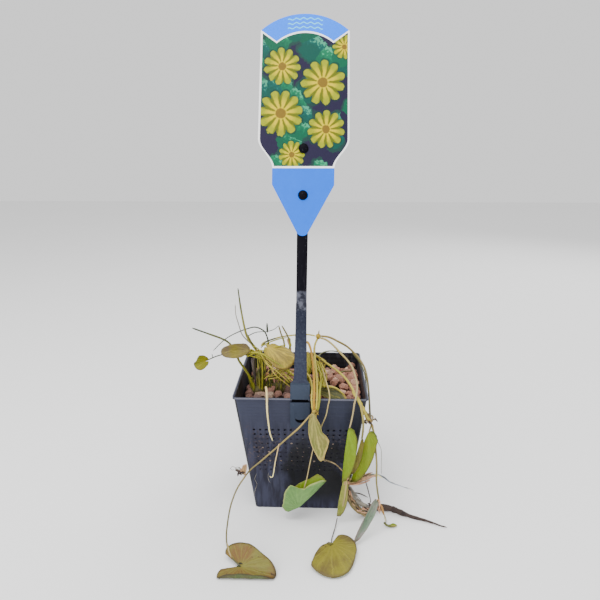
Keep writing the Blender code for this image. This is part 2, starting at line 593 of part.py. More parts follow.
def blade_edge(angle, ahead, behind, half_width):
    """Distance from the stalk to the blade's edge: an ellipse with its back lobes rounded."""
    middle = (ahead - behind) / 2
    long_half = (ahead + behind) / 2
    a = (math.cos(angle) / long_half) ** 2 + (math.sin(angle) / half_width) ** 2
    b = -2 * math.cos(angle) * middle / long_half ** 2
    c = (middle / long_half) ** 2 - 1.0
    reach = (-b + math.sqrt(b * b - 4 * a * c)) / (2 * a)
    turn = max(0.0, (angle / SINUS - LOBE_START) / (1.0 - LOBE_START))
    return reach * (1.0 - LOBE_ROUNDING * turn * turn)


def fold_across(away, half_width, fold, curl):
    """Across the midrib: how far a point of the flat blade goes sideways and up when folded."""
    if abs(curl) < 0.01:
        return away * math.cos(fold), away * math.sin(fold)
    radius = half_width / curl
    end = fold + away / radius
    return radius * (math.sin(end) - math.sin(fold)), radius * (math.cos(fold) - math.cos(end))


def bend_along(along, lift, length, bend):
    """Along the midrib: bend the folded blade towards or away from its facing side."""
    if abs(bend) < 0.01:
        return along, lift
    radius = length / bend
    turn = along / radius
    return (radius - lift) * math.sin(turn), radius - (radius - lift) * math.cos(turn)


def build_leaf(name, leaf, finish, group):
    """A fan of rings and spokes round the stalk, folded, bent, placed and made solid.

    Its faces look to the facing side and it thickens away from it, so that the two halves of a
    narrow fold stay apart.
    """
    chord = leaf.tip - leaf.stalk
    half_bend = leaf.bend / 2
    length = chord.length * (half_bend / math.sin(half_bend) if half_bend else 1.0)
    out = chord.normalized()
    up = (leaf.facing - leaf.facing.dot(out) * out).normalized()
    swing = Matrix.Rotation(half_bend, 3, up.cross(out))
    out = swing @ out
    up = swing @ up
    side = up.cross(out)
    bm = bmesh.new()
    heart = bm.verts.new(leaf.stalk)
    fan = []
    for spoke in range(-LEAF_SPOKES, LEAF_SPOKES + 1):
        angle = SINUS * abs(spoke) / LEAF_SPOKES
        half = 0 if spoke >= 0 else 1
        half_width, fold, curl = leaf.halves[half]
        fold = math.radians(fold)
        curl = math.radians(curl)
        edge = blade_edge(angle, length, leaf.lobes[half] * length, half_width)
        if abs(spoke) > 1:
            edge += leaf.ragged * math.sin(RAGGED_STEP * spoke)
        ray = []
        for ring in range(1, LEAF_RINGS + 1):
            reach = edge * ring / LEAF_RINGS
            across, lift = fold_across(reach * math.sin(angle), half_width, fold, curl)
            along, lift = bend_along(reach * math.cos(angle), lift, length, leaf.bend)
            across = math.copysign(across, spoke)
            ray.append(bm.verts.new(leaf.stalk + along * out + across * side + lift * up))
        fan.append(ray)
    for before, after in zip(fan, fan[1:]):
        bm.faces.new((heart, before[0], after[0]))
        for ring in range(1, LEAF_RINGS):
            bm.faces.new((before[ring - 1], before[ring], after[ring], after[ring - 1]))
    blade = add_object(name, finish_mesh(bm, name, closed=False), finish, group)
    skin = blade.modifiers.new("thickness", "SOLIDIFY")
    skin.thickness = LEAF_THICK * 0.001
    skin.offset = -1.0


def main():
    remove_everything()
    group = add_collection(OBJECT_NAME)
    cutters = add_collection("helpers")
    finishes = {name: make_material(name, *spec) for name, spec in FINISHES.items()}
    build_pot(finishes["pot_plastic"], group)
    build_filling("compost", POT_WALL + GAP, COMPOST_TOP - GAP, finishes["wet_compost"], group)
    build_filling("gravel", COMPOST_TOP, BED_LEVEL, finishes["pink_gravel"], group, stones())
    build_holder(finishes["holder_plastic"], group, cutters)
    build_label(finishes["label_card"], group)
    for name, spec in CROWNS.items():
        build_crown(name, spec, finishes["crown_brown"], group)
    for name, spec in JOINTS.items():
        build_joint(name, spec, finishes["stem_yellow"], group)
    for name, stem in STEMS.items():
        build_stem(name, stem, finishes[stem.finish], group)
    for name, leaf in LEAVES.items():
        build_leaf(name, leaf, finishes[leaf.finish], group)


main()
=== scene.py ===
import math
import random

import bmesh
import bpy
from mathutils import Matrix, Vector, noise


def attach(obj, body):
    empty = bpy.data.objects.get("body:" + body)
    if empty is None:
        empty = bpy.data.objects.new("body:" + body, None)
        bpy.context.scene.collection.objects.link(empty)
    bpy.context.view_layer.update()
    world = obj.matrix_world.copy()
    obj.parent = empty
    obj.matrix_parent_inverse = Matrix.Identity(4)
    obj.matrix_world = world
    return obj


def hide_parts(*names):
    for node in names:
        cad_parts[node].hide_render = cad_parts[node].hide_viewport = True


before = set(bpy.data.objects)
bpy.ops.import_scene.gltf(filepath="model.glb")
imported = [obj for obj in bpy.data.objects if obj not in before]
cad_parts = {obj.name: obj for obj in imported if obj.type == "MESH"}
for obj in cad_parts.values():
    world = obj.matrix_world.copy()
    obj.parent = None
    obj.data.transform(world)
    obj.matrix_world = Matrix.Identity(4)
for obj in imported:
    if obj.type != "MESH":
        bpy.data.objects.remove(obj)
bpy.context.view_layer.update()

# Studio: a pale floor and background, a broad soft light overhead and a weaker one at the left,
# and a camera where the photograph was taken from, a little above the pot's rim.
bpy.ops.object.select_all(action="DESELECT")
bpy.ops.mesh.primitive_plane_add(size=6.0)
floor = bpy.context.active_object
floor.name = "studio_floor"

PHOTO_PIXELS = 600.0
LENS_PIXELS = 573.0
SENSOR_MM = 36.0
bpy.ops.object.camera_add(location=(0.01359, -0.47806, 0.30294),
                          rotation=(math.radians(90.0 - 14.7), 0.0, math.radians(1.84)))
camera = bpy.context.active_object
camera.data.sensor_width = SENSOR_MM
camera.data.lens = LENS_PIXELS / PHOTO_PIXELS * SENSOR_MM
camera.data.clip_start = 0.01
bpy.context.scene.camera = camera

for light_name, place, aim, size, power in (
        ("overhead_light", (-0.25, -0.45, 1.25), (0.0, 0.0, 0.1), 1.1, 19.0),
        ("front_light", (-0.7, -1.2, 0.55), (0.0, 0.0, 0.12), 0.9, 10.0),
        ("back_light", (0.8, 1.0, 0.9), (0.0, 0.0, 0.15), 0.9, 9.0)):
    bpy.ops.object.light_add(type="AREA", location=place)
    lamp = bpy.context.active_object
    lamp.name = light_name
    lamp.rotation_euler = (Vector(aim) - Vector(place)).to_track_quat("-Z", "Y").to_euler()
    lamp.data.size = size
    lamp.data.energy = power

studio = bpy.data.worlds.new("studio")
bpy.context.scene.world = studio
studio.use_nodes = True
sky = studio.node_tree.nodes["Background"]
sky.inputs["Color"].default_value = (1.0, 1.0, 1.0, 1.0)
sky.inputs["Strength"].default_value = 1.1


class Tint:
    """A number or colour in a finish's shader, which Python sums turn into Math nodes."""

    def __init__(self, finish, socket):
        self.finish = finish
        self.socket = socket

    def math(self, operation, *values):
        return self.finish.node("Math", {"operation": operation}, *values)

    def __add__(self, other):
        return self.math("ADD", self, other)

    def __sub__(self, other):
        return self.math("SUBTRACT", self, other)

    def __rsub__(self, other):
        return self.math("SUBTRACT", other, self)

    def __mul__(self, other):
        return self.math("MULTIPLY", self, other)

    def __truediv__(self, other):
        return self.math("DIVIDE", self, other)

    def __pow__(self, other):
        return self.math("POWER", self, other)

    def __abs__(self):
        return self.math("ABSOLUTE", self)

    def __mod__(self, other):
        return self.math("FLOORED_MODULO", self, other)

    __radd__ = __add__
    __rmul__ = __mul__

    def into(self, operation):
        """This number through a Math operation of one input, such as SINE."""
        return self.math(operation, self)

    def most(self, other):
        return self.math("MAXIMUM", self, other)

    def over(self, limit, soft):
        """0 below the limit and 1 above it, with a soft step between them."""
        return self.finish.node("Math", {"operation": "DIVIDE", "use_clamp": True}, self - limit, soft)

    def under(self, limit, soft):
        """1 a soft step below the limit, and 0 above it."""
        return 1.0 - self.over(limit, soft)


class Finish:
    """A material in the making. node() adds any node, and the rest are the ones used most."""

    def __init__(self, name, roughness, shine=0.25):
        self.material = bpy.data.materials.new(name)
        self.material.use_nodes = True
        self.tree = self.material.node_tree
        self.shader = self.tree.nodes["Principled BSDF"]
        self.shader.inputs["Roughness"].default_value = roughness
        self.shader.inputs["Specular IOR Level"].default_value = shine

    def node(self, kind, settings, *values, **named):
        made = self.tree.nodes.new("ShaderNode" + kind)
        for key, value in settings.items():
            setattr(made, key, value)
        sockets = list(enumerate(values)) + [(key.replace("_", " "), value) for key, value in named.items()]
        for key, value in sockets:
            self.feed(made.inputs[key], value)
        return Tint(self, next(socket for socket in made.outputs if socket.enabled))

    def feed(self, socket, value):
        if isinstance(value, Tint):
            self.tree.links.new(value.socket, socket)
        elif value is not None:
            is_colour = socket.type == "RGBA" and len(value) == 3
            socket.default_value = (*value, 1.0) if is_colour else value

    def mix(self, share, first, second):
        made = self.node("Mix", {"data_type": "RGBA"}, share, *[None] * 5, first, second).socket.node
        return Tint(self, made.outputs[2])

    def coats(self, ground, *coats):
        """A ground colour under coats of (share that shows, colour), the last one on top."""
        for share, colour in coats:
            ground = self.mix(share, ground, colour)
        return ground

    def attribute(self, name):
        """A number that the piece's mesh carries at each of its points."""
        made = self.node("Attribute", {"attribute_name": name}).socket.node
        return Tint(self, made.outputs["Fac"])

    def place(self):
        """The point on the piece in the row's frame, in metres."""
        made = self.node("TexCoord", {}).socket.node
        return Tint(self, made.outputs["Object"])

    def parts(self, vector):
        """A vector's three numbers."""
        made = self.node("SeparateXYZ", {}, vector).socket.node
        return [Tint(self, socket) for socket in made.outputs]

    def stretch(self, vector, scale):
        return self.node("Mapping", {}, Vector=vector, Scale=scale)

    def grain(self, scale, detail=3.0, vector=None, roughness=0.5):
        """Soft noise from 0 to 1, with scale in bumps per metre."""
        return self.node("TexNoise", {}, Vector=vector or self.place(), Scale=scale, Detail=detail,
                         Roughness=roughness)

    def colour(self, value):
        self.feed(self.shader.inputs["Base Color"], value)

    def rough(self, value):
        self.feed(self.shader.inputs["Roughness"], value)

    def bump(self, height, metres, strength=1.0):
        lift = self.node("Bump", {}, Strength=strength, Distance=metres, Height=height)
        self.feed(self.shader.inputs["Normal"], lift)


# How bright a surface has to be, at the left, to show as a screen value, at the right.
SHOWN = ((0.0, 0.0), (0.005, 8), (0.01, 18), (0.02, 31), (0.04, 50), (0.08, 77), (0.12, 96), (0.18, 118),
         (0.25, 135), (0.35, 153), (0.5, 170), (0.7, 183), (1.0, 197), (2.0, 217), (4.0, 232), (12.0, 256))
STUDIO_LIGHT = 2.3
SHOWN_GREY = (0.37, 0.40, 0.23)
LIGHT_GREY = (0.31, 0.36, 0.33)
TOWARDS_GREY = 0.61
FROM_GREY = 1.5


def tone(*shown):
    """The reflectance that this studio's light shows as a colour, given as 0 to 255."""
    grey = sum(weight * value for weight, value in zip(SHOWN_GREY, shown))
    bright = []
    for value in shown:
        value = grey + (value - grey) * TOWARDS_GREY
        for (low, low_shown), (high, high_shown) in zip(SHOWN, SHOWN[1:]):
            if low_shown <= value <= high_shown:
                bright.append(low + (high - low) * (value - low_shown) / (high_shown - low_shown))
                break
    middle = sum(weight * value for weight, value in zip(LIGHT_GREY, bright))
    deep = [middle + (value - middle) * FROM_GREY for value in bright]
    return tuple(min(0.92, max(0.0006, value / STUDIO_LIGHT)) for value in deep)


floor_finish = Finish("studio_floor", 0.6)
floor_finish.colour(floor_finish.mix(floor_finish.grain(3.0), (0.86, 0.86, 0.86), (0.88, 0.88, 0.88)))
floor.data.materials.append(floor_finish.material)


# Pot: a square basket moulded in one from dark blue-grey plastic. It tapers to its foot, has a
# thin lip, and rows of small holes in its four walls that water and dirt have dulled.
POT_HEIGHT = 0.110
LIP_HEIGHT = 0.0015
BODY_TOP = POT_HEIGHT - LIP_HEIGHT
TOP_HALF = 0.0539
FOOT_HALF = 0.0395
LIP_OUT = 0.0011
POT_WALL = 0.0013
POT_CORNER = 0.0034
PLAN_HALF = 0.0470
COLUMNS = 16
COLUMN_PITCH = 0.00475
ROWS = 10
ROW_PITCH = 0.0044
TOP_ROW_EDGE = 0.0822
HOLE_INSET = 0.00140
HOLE_CORNER = 0.00045
HOLE_LONGEST_EDGE = 0.0020


def only(piece):
    """Select one object and make it active."""
    bpy.ops.object.select_all(action="DESELECT")
    piece.select_set(True)
    bpy.context.view_layer.objects.active = piece


def pick(piece, wanted):
    """In edit mode, select the faces that pass a test."""
    bpy.ops.mesh.select_mode(type="FACE")
    bpy.ops.mesh.select_all(action="DESELECT")
    bm = bmesh.from_edit_mesh(piece.data)
    for face in bm.faces:
        face.select_set(wanted(face))
    bmesh.update_edit_mesh(piece.data)


def cut(place, normal):
    """In edit mode, cut the whole mesh along a plane."""
    bpy.ops.mesh.select_all(action="SELECT")
    bpy.ops.mesh.bisect(plane_co=place, plane_no=normal)


def face_outwards():
    """In edit mode, turn every face of a closed mesh to point outwards."""
    bpy.ops.mesh.select_all(action="SELECT")
    bpy.ops.mesh.normals_make_consistent(inside=False)


def fit(piece, name, slot, *solids):
    """Name a finished piece, fix its place in its mesh, and let it stand for its solids."""
    only(piece)
    bpy.ops.object.transform_apply(location=True, rotation=True, scale=True)
    piece.name = name
    piece.data.name = name
    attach(piece, "root")
    if solids:
        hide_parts(*solids)


def pot_half(height):
    return FOOT_HALF + (TOP_HALF - FOOT_HALF) * height / BODY_TOP


bpy.ops.mesh.primitive_cube_add(size=1.0, location=(0.0, 0.0, BODY_TOP / 2),
                                scale=(2 * PLAN_HALF, 2 * PLAN_HALF, BODY_TOP))
pot = bpy.context.active_object
bpy.ops.object.transform_apply(location=True, rotation=True, scale=True)
bpy.ops.object.mode_set(mode="EDIT")
pick(pot, lambda face: face.normal.z > 0.9)
bpy.ops.mesh.delete(type="ONLY_FACE")
bpy.ops.mesh.select_mode(type="EDGE")
bpy.ops.mesh.select_all(action="DESELECT")
pot_mesh = bmesh.from_edit_mesh(pot.data)
for edge in pot_mesh.edges:
    edge.select_set(abs(edge.verts[0].co.z - edge.verts[1].co.z) > 0.01)
bmesh.update_edit_mesh(pot.data)
bpy.ops.mesh.bevel(offset=POT_CORNER, segments=4)
for spread, rise in ((1.0 + LIP_OUT / TOP_HALF, 0.0), (1.0, LIP_HEIGHT)):
    bpy.ops.mesh.select_mode(type="EDGE")
    bpy.ops.mesh.select_all(action="DESELECT")
    bpy.ops.mesh.select_non_manifold()
    bpy.ops.mesh.extrude_edges_move(TRANSFORM_OT_translate={"value": (0.0, 0.0, rise)})
    bpy.ops.transform.resize(value=(spread, spread, 1.0), center_override=(0.0, 0.0, 0.0))
for line in range(COLUMNS + 1):
    across = (line - COLUMNS / 2) * COLUMN_PITCH
    cut((across, 0.0, 0.0), (1.0, 0.0, 0.0))
    cut((0.0, across, 0.0), (0.0, 1.0, 0.0))
for line in range(ROWS + 1):
    cut((0.0, 0.0, TOP_ROW_EDGE - line * ROW_PITCH), (0.0, 0.0, 1.0))


def in_hole_rows(face):
    """The wall's cells that get a hole, away from the corners."""
    middle = face.calc_center_median()
    near = min(abs(middle.x), abs(middle.y))
    low = TOP_ROW_EDGE - ROWS * ROW_PITCH
    return (abs(face.normal.z) < 0.3 and near < COLUMNS / 2 * COLUMN_PITCH
            and low < middle.z < TOP_ROW_EDGE)


pick(pot, in_hole_rows)
bpy.ops.mesh.inset(thickness=HOLE_INSET, use_individual=True)
bpy.ops.mesh.bevel(offset=HOLE_CORNER, affect="VERTICES")
pick(pot, lambda face: in_hole_rows(face) and len(face.verts) == 8
     and max(edge.calc_length() for edge in face.edges) < HOLE_LONGEST_EDGE)
bpy.ops.mesh.delete(type="FACE")
face_outwards()
bpy.ops.object.mode_set(mode="OBJECT")
for vert in pot.data.vertices:
    widening = pot_half(min(vert.co.z, BODY_TOP)) / PLAN_HALF
    vert.co.x *= widening
    vert.co.y *= widening
wall = pot.modifiers.new("wall", "SOLIDIFY")
wall.thickness = POT_WALL
wall.offset = -1.0
wall.use_even_offset = True
only(pot)
bpy.ops.object.modifier_apply(modifier="wall")
bpy.ops.object.shade_smooth_by_angle(angle=math.radians(32.0))

pot_finish = Finish("pot_plastic_worn", 0.42)
pot_x, pot_y, pot_z = pot_finish.parts(pot_finish.place())
streaks = pot_finish.grain(330.0, 3.0, pot_finish.stretch(pot_finish.place(), (1.0, 1.0, 0.07)))
blotches = pot_finish.grain(36.0, 5.0)
fine_dirt = pot_finish.grain(560.0, 4.0)
# A dark patch low on the front wall, right of the middle.
low_dark_patch = ((abs(pot_x - 0.012) * -1.0 + 0.028 + (blotches - 0.5) * 0.045).over(0.0, 0.007)
       * (pot_z + (streaks - 0.5) * 0.02).over(0.006, 0.010)
       * (pot_z + (blotches - 0.5) * 0.03).under(0.060, 0.014))
side_shade = (pot_x + (blotches - 0.5) * 0.012).over(0.034, 0.008) * pot_z.under(0.097, 0.02)
film = (fine_dirt.over(0.58, 0.08) * blotches.over(0.46, 0.10) * pot_z.over(0.040, 0.020)
        * (pot_z + (blotches - 0.5) * 0.03).under(0.074, 0.006) * (1.0 - low_dark_patch * 0.8))
rust = (fine_dirt * 0.5 + blotches * 0.5).over(0.56, 0.05) * pot_z.over(0.036, 0.01) * pot_z.under(0.080, 0.008)
# Painted shade: dark horizontal lines across the ridged band under the lip.
ridge_shade_lines = ((pot_z * 2300.0 + blotches * 3.0).into("SINE").over(0.35, 0.5) * pot_z.over(0.084, 0.006)
         * pot_z.under(0.1075, 0.001) * streaks.over(0.35, 0.3))
off_axis = abs(pot_x).most(abs(pot_y))
inside = (off_axis - pot_z * (TOP_HALF - FOOT_HALF) / BODY_TOP).under(FOOT_HALF - 0.0007, 0.0003)
lip_edge = off_axis.over(TOP_HALF + LIP_OUT - 0.0007, 0.0002) * pot_z.over(0.1087, 0.0006)
pot_finish.colour(pot_finish.coats(
    # Lower wall: dark and light vertical streaks, painted shade of its slight vertical ribbing.
    pot_finish.mix(streaks.over(0.40, 0.22), tone(32, 32, 60), tone(66, 70, 104)),
    # Upper wall: painted light, lighter at the left where the light falls and darker to the right.
    (pot_z.over(0.060, 0.040), pot_finish.mix(pot_x.over(-0.03, 0.07), tone(62, 68, 100), tone(52, 58, 90))),
    (low_dark_patch * 0.92, tone(8, 9, 17)),
    (side_shade * 0.7, tone(18, 20, 38)),
    (film * 0.62, tone(142, 128, 122)),
    (rust * (1.0 - low_dark_patch * 0.7) * 0.3, tone(92, 66, 62)),
    (ridge_shade_lines * 0.35, tone(46, 50, 74)),
    # Inner wall: painted shade, near black, with lighter vertical streaks as painted reflections.
    (inside, pot_finish.mix(streaks.over(0.52, 0.14), tone(14, 13, 24), tone(62, 58, 76))),
    (lip_edge * 0.8, tone(140, 140, 156))))
pot_finish.rough(0.40 + blotches * 0.25 + film * 0.3)
ridges = (pot_z * 1500.0).into("SINE") * pot_z.over(0.086, 0.006)
pot_finish.bump(ridges * 0.22 + streaks * 0.55 + fine_dirt * 0.25, 0.0004, 0.6)
pot.data.materials.append(pot_finish.material)
fit(pot, "pot_basket", "pot_plastic", "pot")


# Compost: the wet dark soil that fills the lower pot. The top row of holes is clear of it, and
# further down it has worked into them until they are nearly level with the wall.
COMPOST_FOOT = 0.0016
COMPOST_TOP = 0.0800
COMPOST_GAP = 0.00015
COMPOST_STEPS = ((0.0772, 0.0025), (0.0728, 0.0007))
COMPOST_CORNER = 0.0040
CORNER_START = 0.0046
CRUMB_DEPTH = 0.0013


def edit_whole():
    """Enter edit mode with the whole mesh selected."""
    bpy.ops.object.mode_set(mode="EDIT")
    bpy.ops.mesh.select_all(action="SELECT")


bpy.ops.mesh.primitive_cube_add(size=2.0)
compost = bpy.context.active_object
edit_whole()
bpy.ops.mesh.subdivide(number_cuts=31)
bpy.ops.object.mode_set(mode="OBJECT")
for vert in compost.data.vertices:
    height = COMPOST_FOOT + (vert.co.z + 1.0) / 2 * (COMPOST_TOP - COMPOST_FOOT)
    step_in = next((step for level, step in COMPOST_STEPS if height > level), 0.0)
    half = pot_half(height) - COMPOST_GAP - step_in
    spot = Vector((vert.co.x * half, vert.co.y * half, height))
    press = CRUMB_DEPTH * max(0.0, 0.28 + noise.noise(spot * 380.0))
    spot.x = math.copysign(min(abs(spot.x), half - press), spot.x)
    spot.y = math.copysign(min(abs(spot.y), half - press), spot.y)
    past_x, past_y = abs(spot.x) - half + CORNER_START, abs(spot.y) - half + CORNER_START
    if past_x > 0.0 and past_y > 0.0 and math.hypot(past_x, past_y) > COMPOST_CORNER:
        pull = 1.0 - COMPOST_CORNER / math.hypot(past_x, past_y)
        spot.x -= math.copysign(past_x * pull, spot.x)
        spot.y -= math.copysign(past_y * pull, spot.y)
    vert.co = spot
bpy.ops.object.shade_smooth_by_angle(angle=math.radians(50.0))
compost_finish = Finish("wet_compost_crumb", 0.9)
crumbs = compost_finish.grain(420.0, 4.0)
compost_finish.colour(compost_finish.coats(
    compost_finish.mix(crumbs.over(0.36, 0.2), tone(36, 34, 54), tone(64, 62, 82)),
    (compost_finish.grain(250.0, 2.0).over(0.60, 0.04), tone(176, 160, 148))))
compost_finish.bump(crumbs, 0.0008)
compost.data.materials.append(compost_finish.material)
fit(compost, "compost_plug", "wet_compost", "compost")


# Gravel: pinkish brown crushed stone, 6 to 12 mm, two layers deep over a bed painted dark as shade in
# the gaps, heaped at the right and banked against that wall. Each stone is an angular lump copied from one of
# eight.
STONE_LAYERS = ((0.0900, 500), (0.0955, 1500))
STONE_RADIUS = (0.0035, 0.0060)
STONE_LIFTS = (-0.0012, 0.0022)
STONE_SPACING = 0.80
HEAP_AT = (0.030, 0.012)
HEAP_HEIGHT = 0.0040
HEAP_SPREAD = 0.020
BANK_LEVEL = 0.1000
BANK_RADIUS = (0.0042, 0.0054)
BANK_LIFTS = (0.0, 0.0014)
BANK_STONES = ((0.0470, -0.031), (0.0472, -0.021), (0.0470, -0.011), (0.0474, 0.0), (0.0470, 0.010),
               (0.0474, 0.020), (0.0470, 0.031), (0.0466, 0.041))
BED_LEVEL = 0.0920
BED_DEPTH = 0.0103
BED_GAP = 0.0006
BED_UNEVEN = 0.0012
BED_TAPER = 0.965

chance = random.Random(4)
stone_shapes = []
for shape in range(8):
    bpy.ops.mesh.primitive_ico_sphere_add(subdivisions=2, radius=1.0)
    stone = bpy.context.active_object
    for vert in stone.data.vertices:
        vert.co *= chance.uniform(0.56, 1.12)
    edit_whole()
    bpy.ops.mesh.convex_hull()
    face_outwards()
    bpy.ops.object.mode_set(mode="OBJECT")
    bpy.ops.object.shade_smooth_by_angle(angle=math.radians(14.0))
    stone_shapes.append(stone)

bpy.ops.mesh.primitive_grid_add(x_subdivisions=40, y_subdivisions=40, size=2.0)
gravel = bpy.context.active_object
for vert in gravel.data.vertices:
    half = pot_half(BED_LEVEL) - POT_WALL - BED_GAP
    vert.co = Vector((vert.co.x * half, vert.co.y * half, BED_LEVEL))
    vert.co.z += BED_UNEVEN * noise.noise(vert.co * 260.0)
edit_whole()
bpy.ops.mesh.extrude_region_move(TRANSFORM_OT_translate={"value": (0.0, 0.0, -BED_DEPTH)})
bpy.ops.transform.resize(value=(BED_TAPER, BED_TAPER, 1.0), center_override=(0.0, 0.0, 0.0))
face_outwards()
bpy.ops.object.mode_set(mode="OBJECT")
# The bed is marked to take a near-black colour: painted shade in the gaps between stones.
bed_shade_tone = gravel.data.attributes.new("tone", "FLOAT", "POINT")
for item in bed_shade_tone.data:
    item.value = -1.0


def lay_stone(draw, x, y, level, lifts, radius=None):
    """A copied stone at its place, turned, squashed and toned by chance; a banked one draws its size."""
    stone = draw.choice(stone_shapes).copy()
    stone.data = stone.data.copy()
    turn = Matrix.Rotation(draw.uniform(0, 6.28), 4, "Z") @ Matrix.Rotation(draw.uniform(-0.7, 0.7), 4, "X")
    longer = 1.12 if radius else 1.0
    radius = radius or draw.uniform(*BANK_RADIUS)
    sizes = (radius * longer, radius * draw.uniform(0.75, 1.0), radius * draw.uniform(0.65, 0.9), 1.0)
    middle = Matrix.Translation((x, y, level + draw.uniform(*lifts)))
    stone.data.transform(middle @ turn @ Matrix.Diagonal(sizes))
    own_tone = stone.data.attributes.new("tone", "FLOAT", "POINT")
    shade = draw.random()
    for item in own_tone.data:
        item.value = shade
    bpy.context.scene.collection.objects.link(stone)
    return stone


def join(pieces):
    """Join pieces into the first one."""
    bpy.ops.object.select_all(action="DESELECT")
    for piece in pieces:
        piece.select_set(True)
    bpy.context.view_layer.objects.active = pieces[0]
    bpy.ops.object.join()
    return pieces[0]


all_stones = [gravel]
for level, tries in STONE_LAYERS:
    laid = []
    for _ in range(tries):
        radius = chance.uniform(*STONE_RADIUS)
        reach = pot_half(level) - POT_WALL - radius * 0.9
        x, y = chance.uniform(-reach, reach), chance.uniform(-reach, reach)
        if any(math.hypot(x - a, y - b) < STONE_SPACING * (radius + c) for a, b, c in laid):
            continue
        laid.append((x, y, radius))
        away = (x - HEAP_AT[0]) ** 2 + (y - HEAP_AT[1]) ** 2
        heap = HEAP_HEIGHT * math.exp(-away / HEAP_SPREAD ** 2)
        all_stones.append(lay_stone(chance, x, y, level + heap, STONE_LIFTS, radius))
bank = random.Random(9)
for x, y in BANK_STONES:
    all_stones.append(lay_stone(bank, x, y, BANK_LEVEL, BANK_LIFTS))
join(all_stones)
for stone in stone_shapes:
    bpy.data.objects.remove(stone)

gravel_finish = Finish("pink_gravel_stone", 0.85)
stone_tone = gravel_finish.attribute("tone")
speckle = gravel_finish.grain(900.0, 3.0)
mottle = gravel_finish.grain(190.0, 3.0)
gravel_x, gravel_y, gravel_z = gravel_finish.parts(gravel_finish.place())
# Painted shadow of the tuft over the front-left stones.
tuft_shadow = gravel_y.under(-0.020, 0.02) * gravel_x.under(-0.002, 0.01)
# Painted light: the stones at the right and back, out of the tuft's shadow, lighter.
lit_right_and_back = gravel_x.over(0.012, 0.02) * gravel_y.over(-0.03, 0.02)
gravel_finish.colour(gravel_finish.coats(
    gravel_finish.mix(stone_tone, tone(146, 112, 104), tone(200, 166, 150)),
    (stone_tone.over(0.84, 0.1) * 0.8, tone(204, 194, 180)),
    (mottle.over(0.45, 0.25) * 0.40, tone(166, 126, 114)),
    (speckle.over(0.54, 0.12) * 0.35, tone(110, 82, 76)),
    (tuft_shadow * 0.5, tone(110, 88, 80)),
    (lit_right_and_back * 0.22, tone(214, 190, 172)),
    # Painted shade: the lower stones darker, down in the gaps, and the bed between them near black.
    (gravel_z.under(0.0930, 0.003) * 0.8, tone(44, 30, 36)),
    (stone_tone.under(-0.5, 0.1), tone(44, 30, 32))))
gravel_finish.bump(mottle + speckle * 0.5, 0.0009)
gravel.data.materials.append(gravel_finish.material)
fit(gravel, "gravel_bed", "pink_gravel", "gravel")


# Label holder: clip, neck and stake moulded in one from black plastic. The clip hooks over the
# pot's front rim, a U-shaped tongue is moulded in its plate, and two studs hold the card.
STAKE_LEAN = math.radians(10.0)
STAKE_ROLL = math.radians(0.5)
STAKE_FRONT = -0.056
CLIP_HALF = 0.0080
PLATE_THICK = 0.0022
PLATE_HEIGHT = 0.0236
PLATE_FRONT = -0.0554
PLATE_TOP = 0.1080
GROOVE_HALF = 0.0038
WALL_TILT = math.atan2(TOP_HALF - FOOT_HALF, BODY_TOP)
STAKE_SECTIONS = ((0.0002, 0.0079), (0.0124, 0.0079), (0.0158, 0.0053), (0.0560, 0.0044), (0.0765, 0.0043),
                  (0.0775, 0.0041), (0.2060, 0.0045))
STAKE_THICK = 0.0026
GROOVE_BEND = -0.0138
SHELF = ((2 * CLIP_HALF - 0.0004, 0.0046, 0.0122), (0.0, 0.0010, 0.0062))
LEG = ((2 * CLIP_HALF - 0.0014, 0.0013, 0.0084), (0.0, 0.00065, -0.0042))
LEG_TOP = (0.0, -0.0518, 0.1116)
WEB = ((2 * CLIP_HALF - 0.0030, 0.0007, 0.0044), (0.0, -0.0552, 0.1092))
STUD_HEIGHTS = (0.1612, 0.1967)
STUD_DOMES = ((0.0000, 0.0020, 0.0030), (-0.0013, 0.0038, 0.0021))
stake_stand = (Matrix.Translation((0.0, STAKE_FRONT, POT_HEIGHT)) @ Matrix.Rotation(STAKE_ROLL, 4, "Y")
               @ Matrix.Rotation(-STAKE_LEAN, 4, "X"))


def soften(piece, width, segments=2):
    """Round the piece's edges a little."""
    only(piece)
    edges = piece.modifiers.new("edges", "BEVEL")
    edges.width = width
    edges.segments = segments
    edges.limit_method = "ANGLE"
    edges.angle_limit = math.radians(30.0)
    bpy.ops.object.modifier_apply(modifier="edges")


def block(size, middle, stand):
    """A block at its place in a stand's frame."""
    bpy.ops.mesh.primitive_cube_add(size=1.0)
    piece = bpy.context.active_object
    piece.data.transform(stand @ Matrix.Translation(middle) @ Matrix.Diagonal((*size, 1.0)))
    return piece


plate_stand = Matrix.Translation((0.0, PLATE_FRONT, PLATE_TOP)) @ Matrix.Rotation(WALL_TILT, 4, "X")
plate = block((2 * CLIP_HALF, PLATE_THICK, PLATE_HEIGHT), (0.0, -PLATE_THICK / 2, -PLATE_HEIGHT / 2),
              plate_stand)
soften(plate, 0.0005)
bpy.ops.curve.primitive_nurbs_path_add()
groove = bpy.context.active_object
groove.data.splines.clear()
tongue_line = groove.data.splines.new("POLY")
tongue_points = [(-GROOVE_HALF, -0.0080), (-GROOVE_HALF, -0.0130)]
tongue_points += [(GROOVE_HALF * math.cos(math.radians(a)), GROOVE_BEND + GROOVE_HALF * math.sin(math.radians(a)))
                  for a in range(190, 351, 20)]
tongue_points += [(GROOVE_HALF, -0.0130), (GROOVE_HALF, -0.0080)]
tongue_line.points.add(len(tongue_points) - 1)
for index, (point, (x, z)) in enumerate(zip(tongue_line.points, tongue_points)):
    place = plate_stand @ Vector((x, -PLATE_THICK - 0.0002, z))
    point.co = (*place, 1.0)
    point.radius = 0.35 + 1.35 * math.sin(math.pi * index / (len(tongue_points) - 1)) ** 3
groove.data.bevel_depth = 0.0010
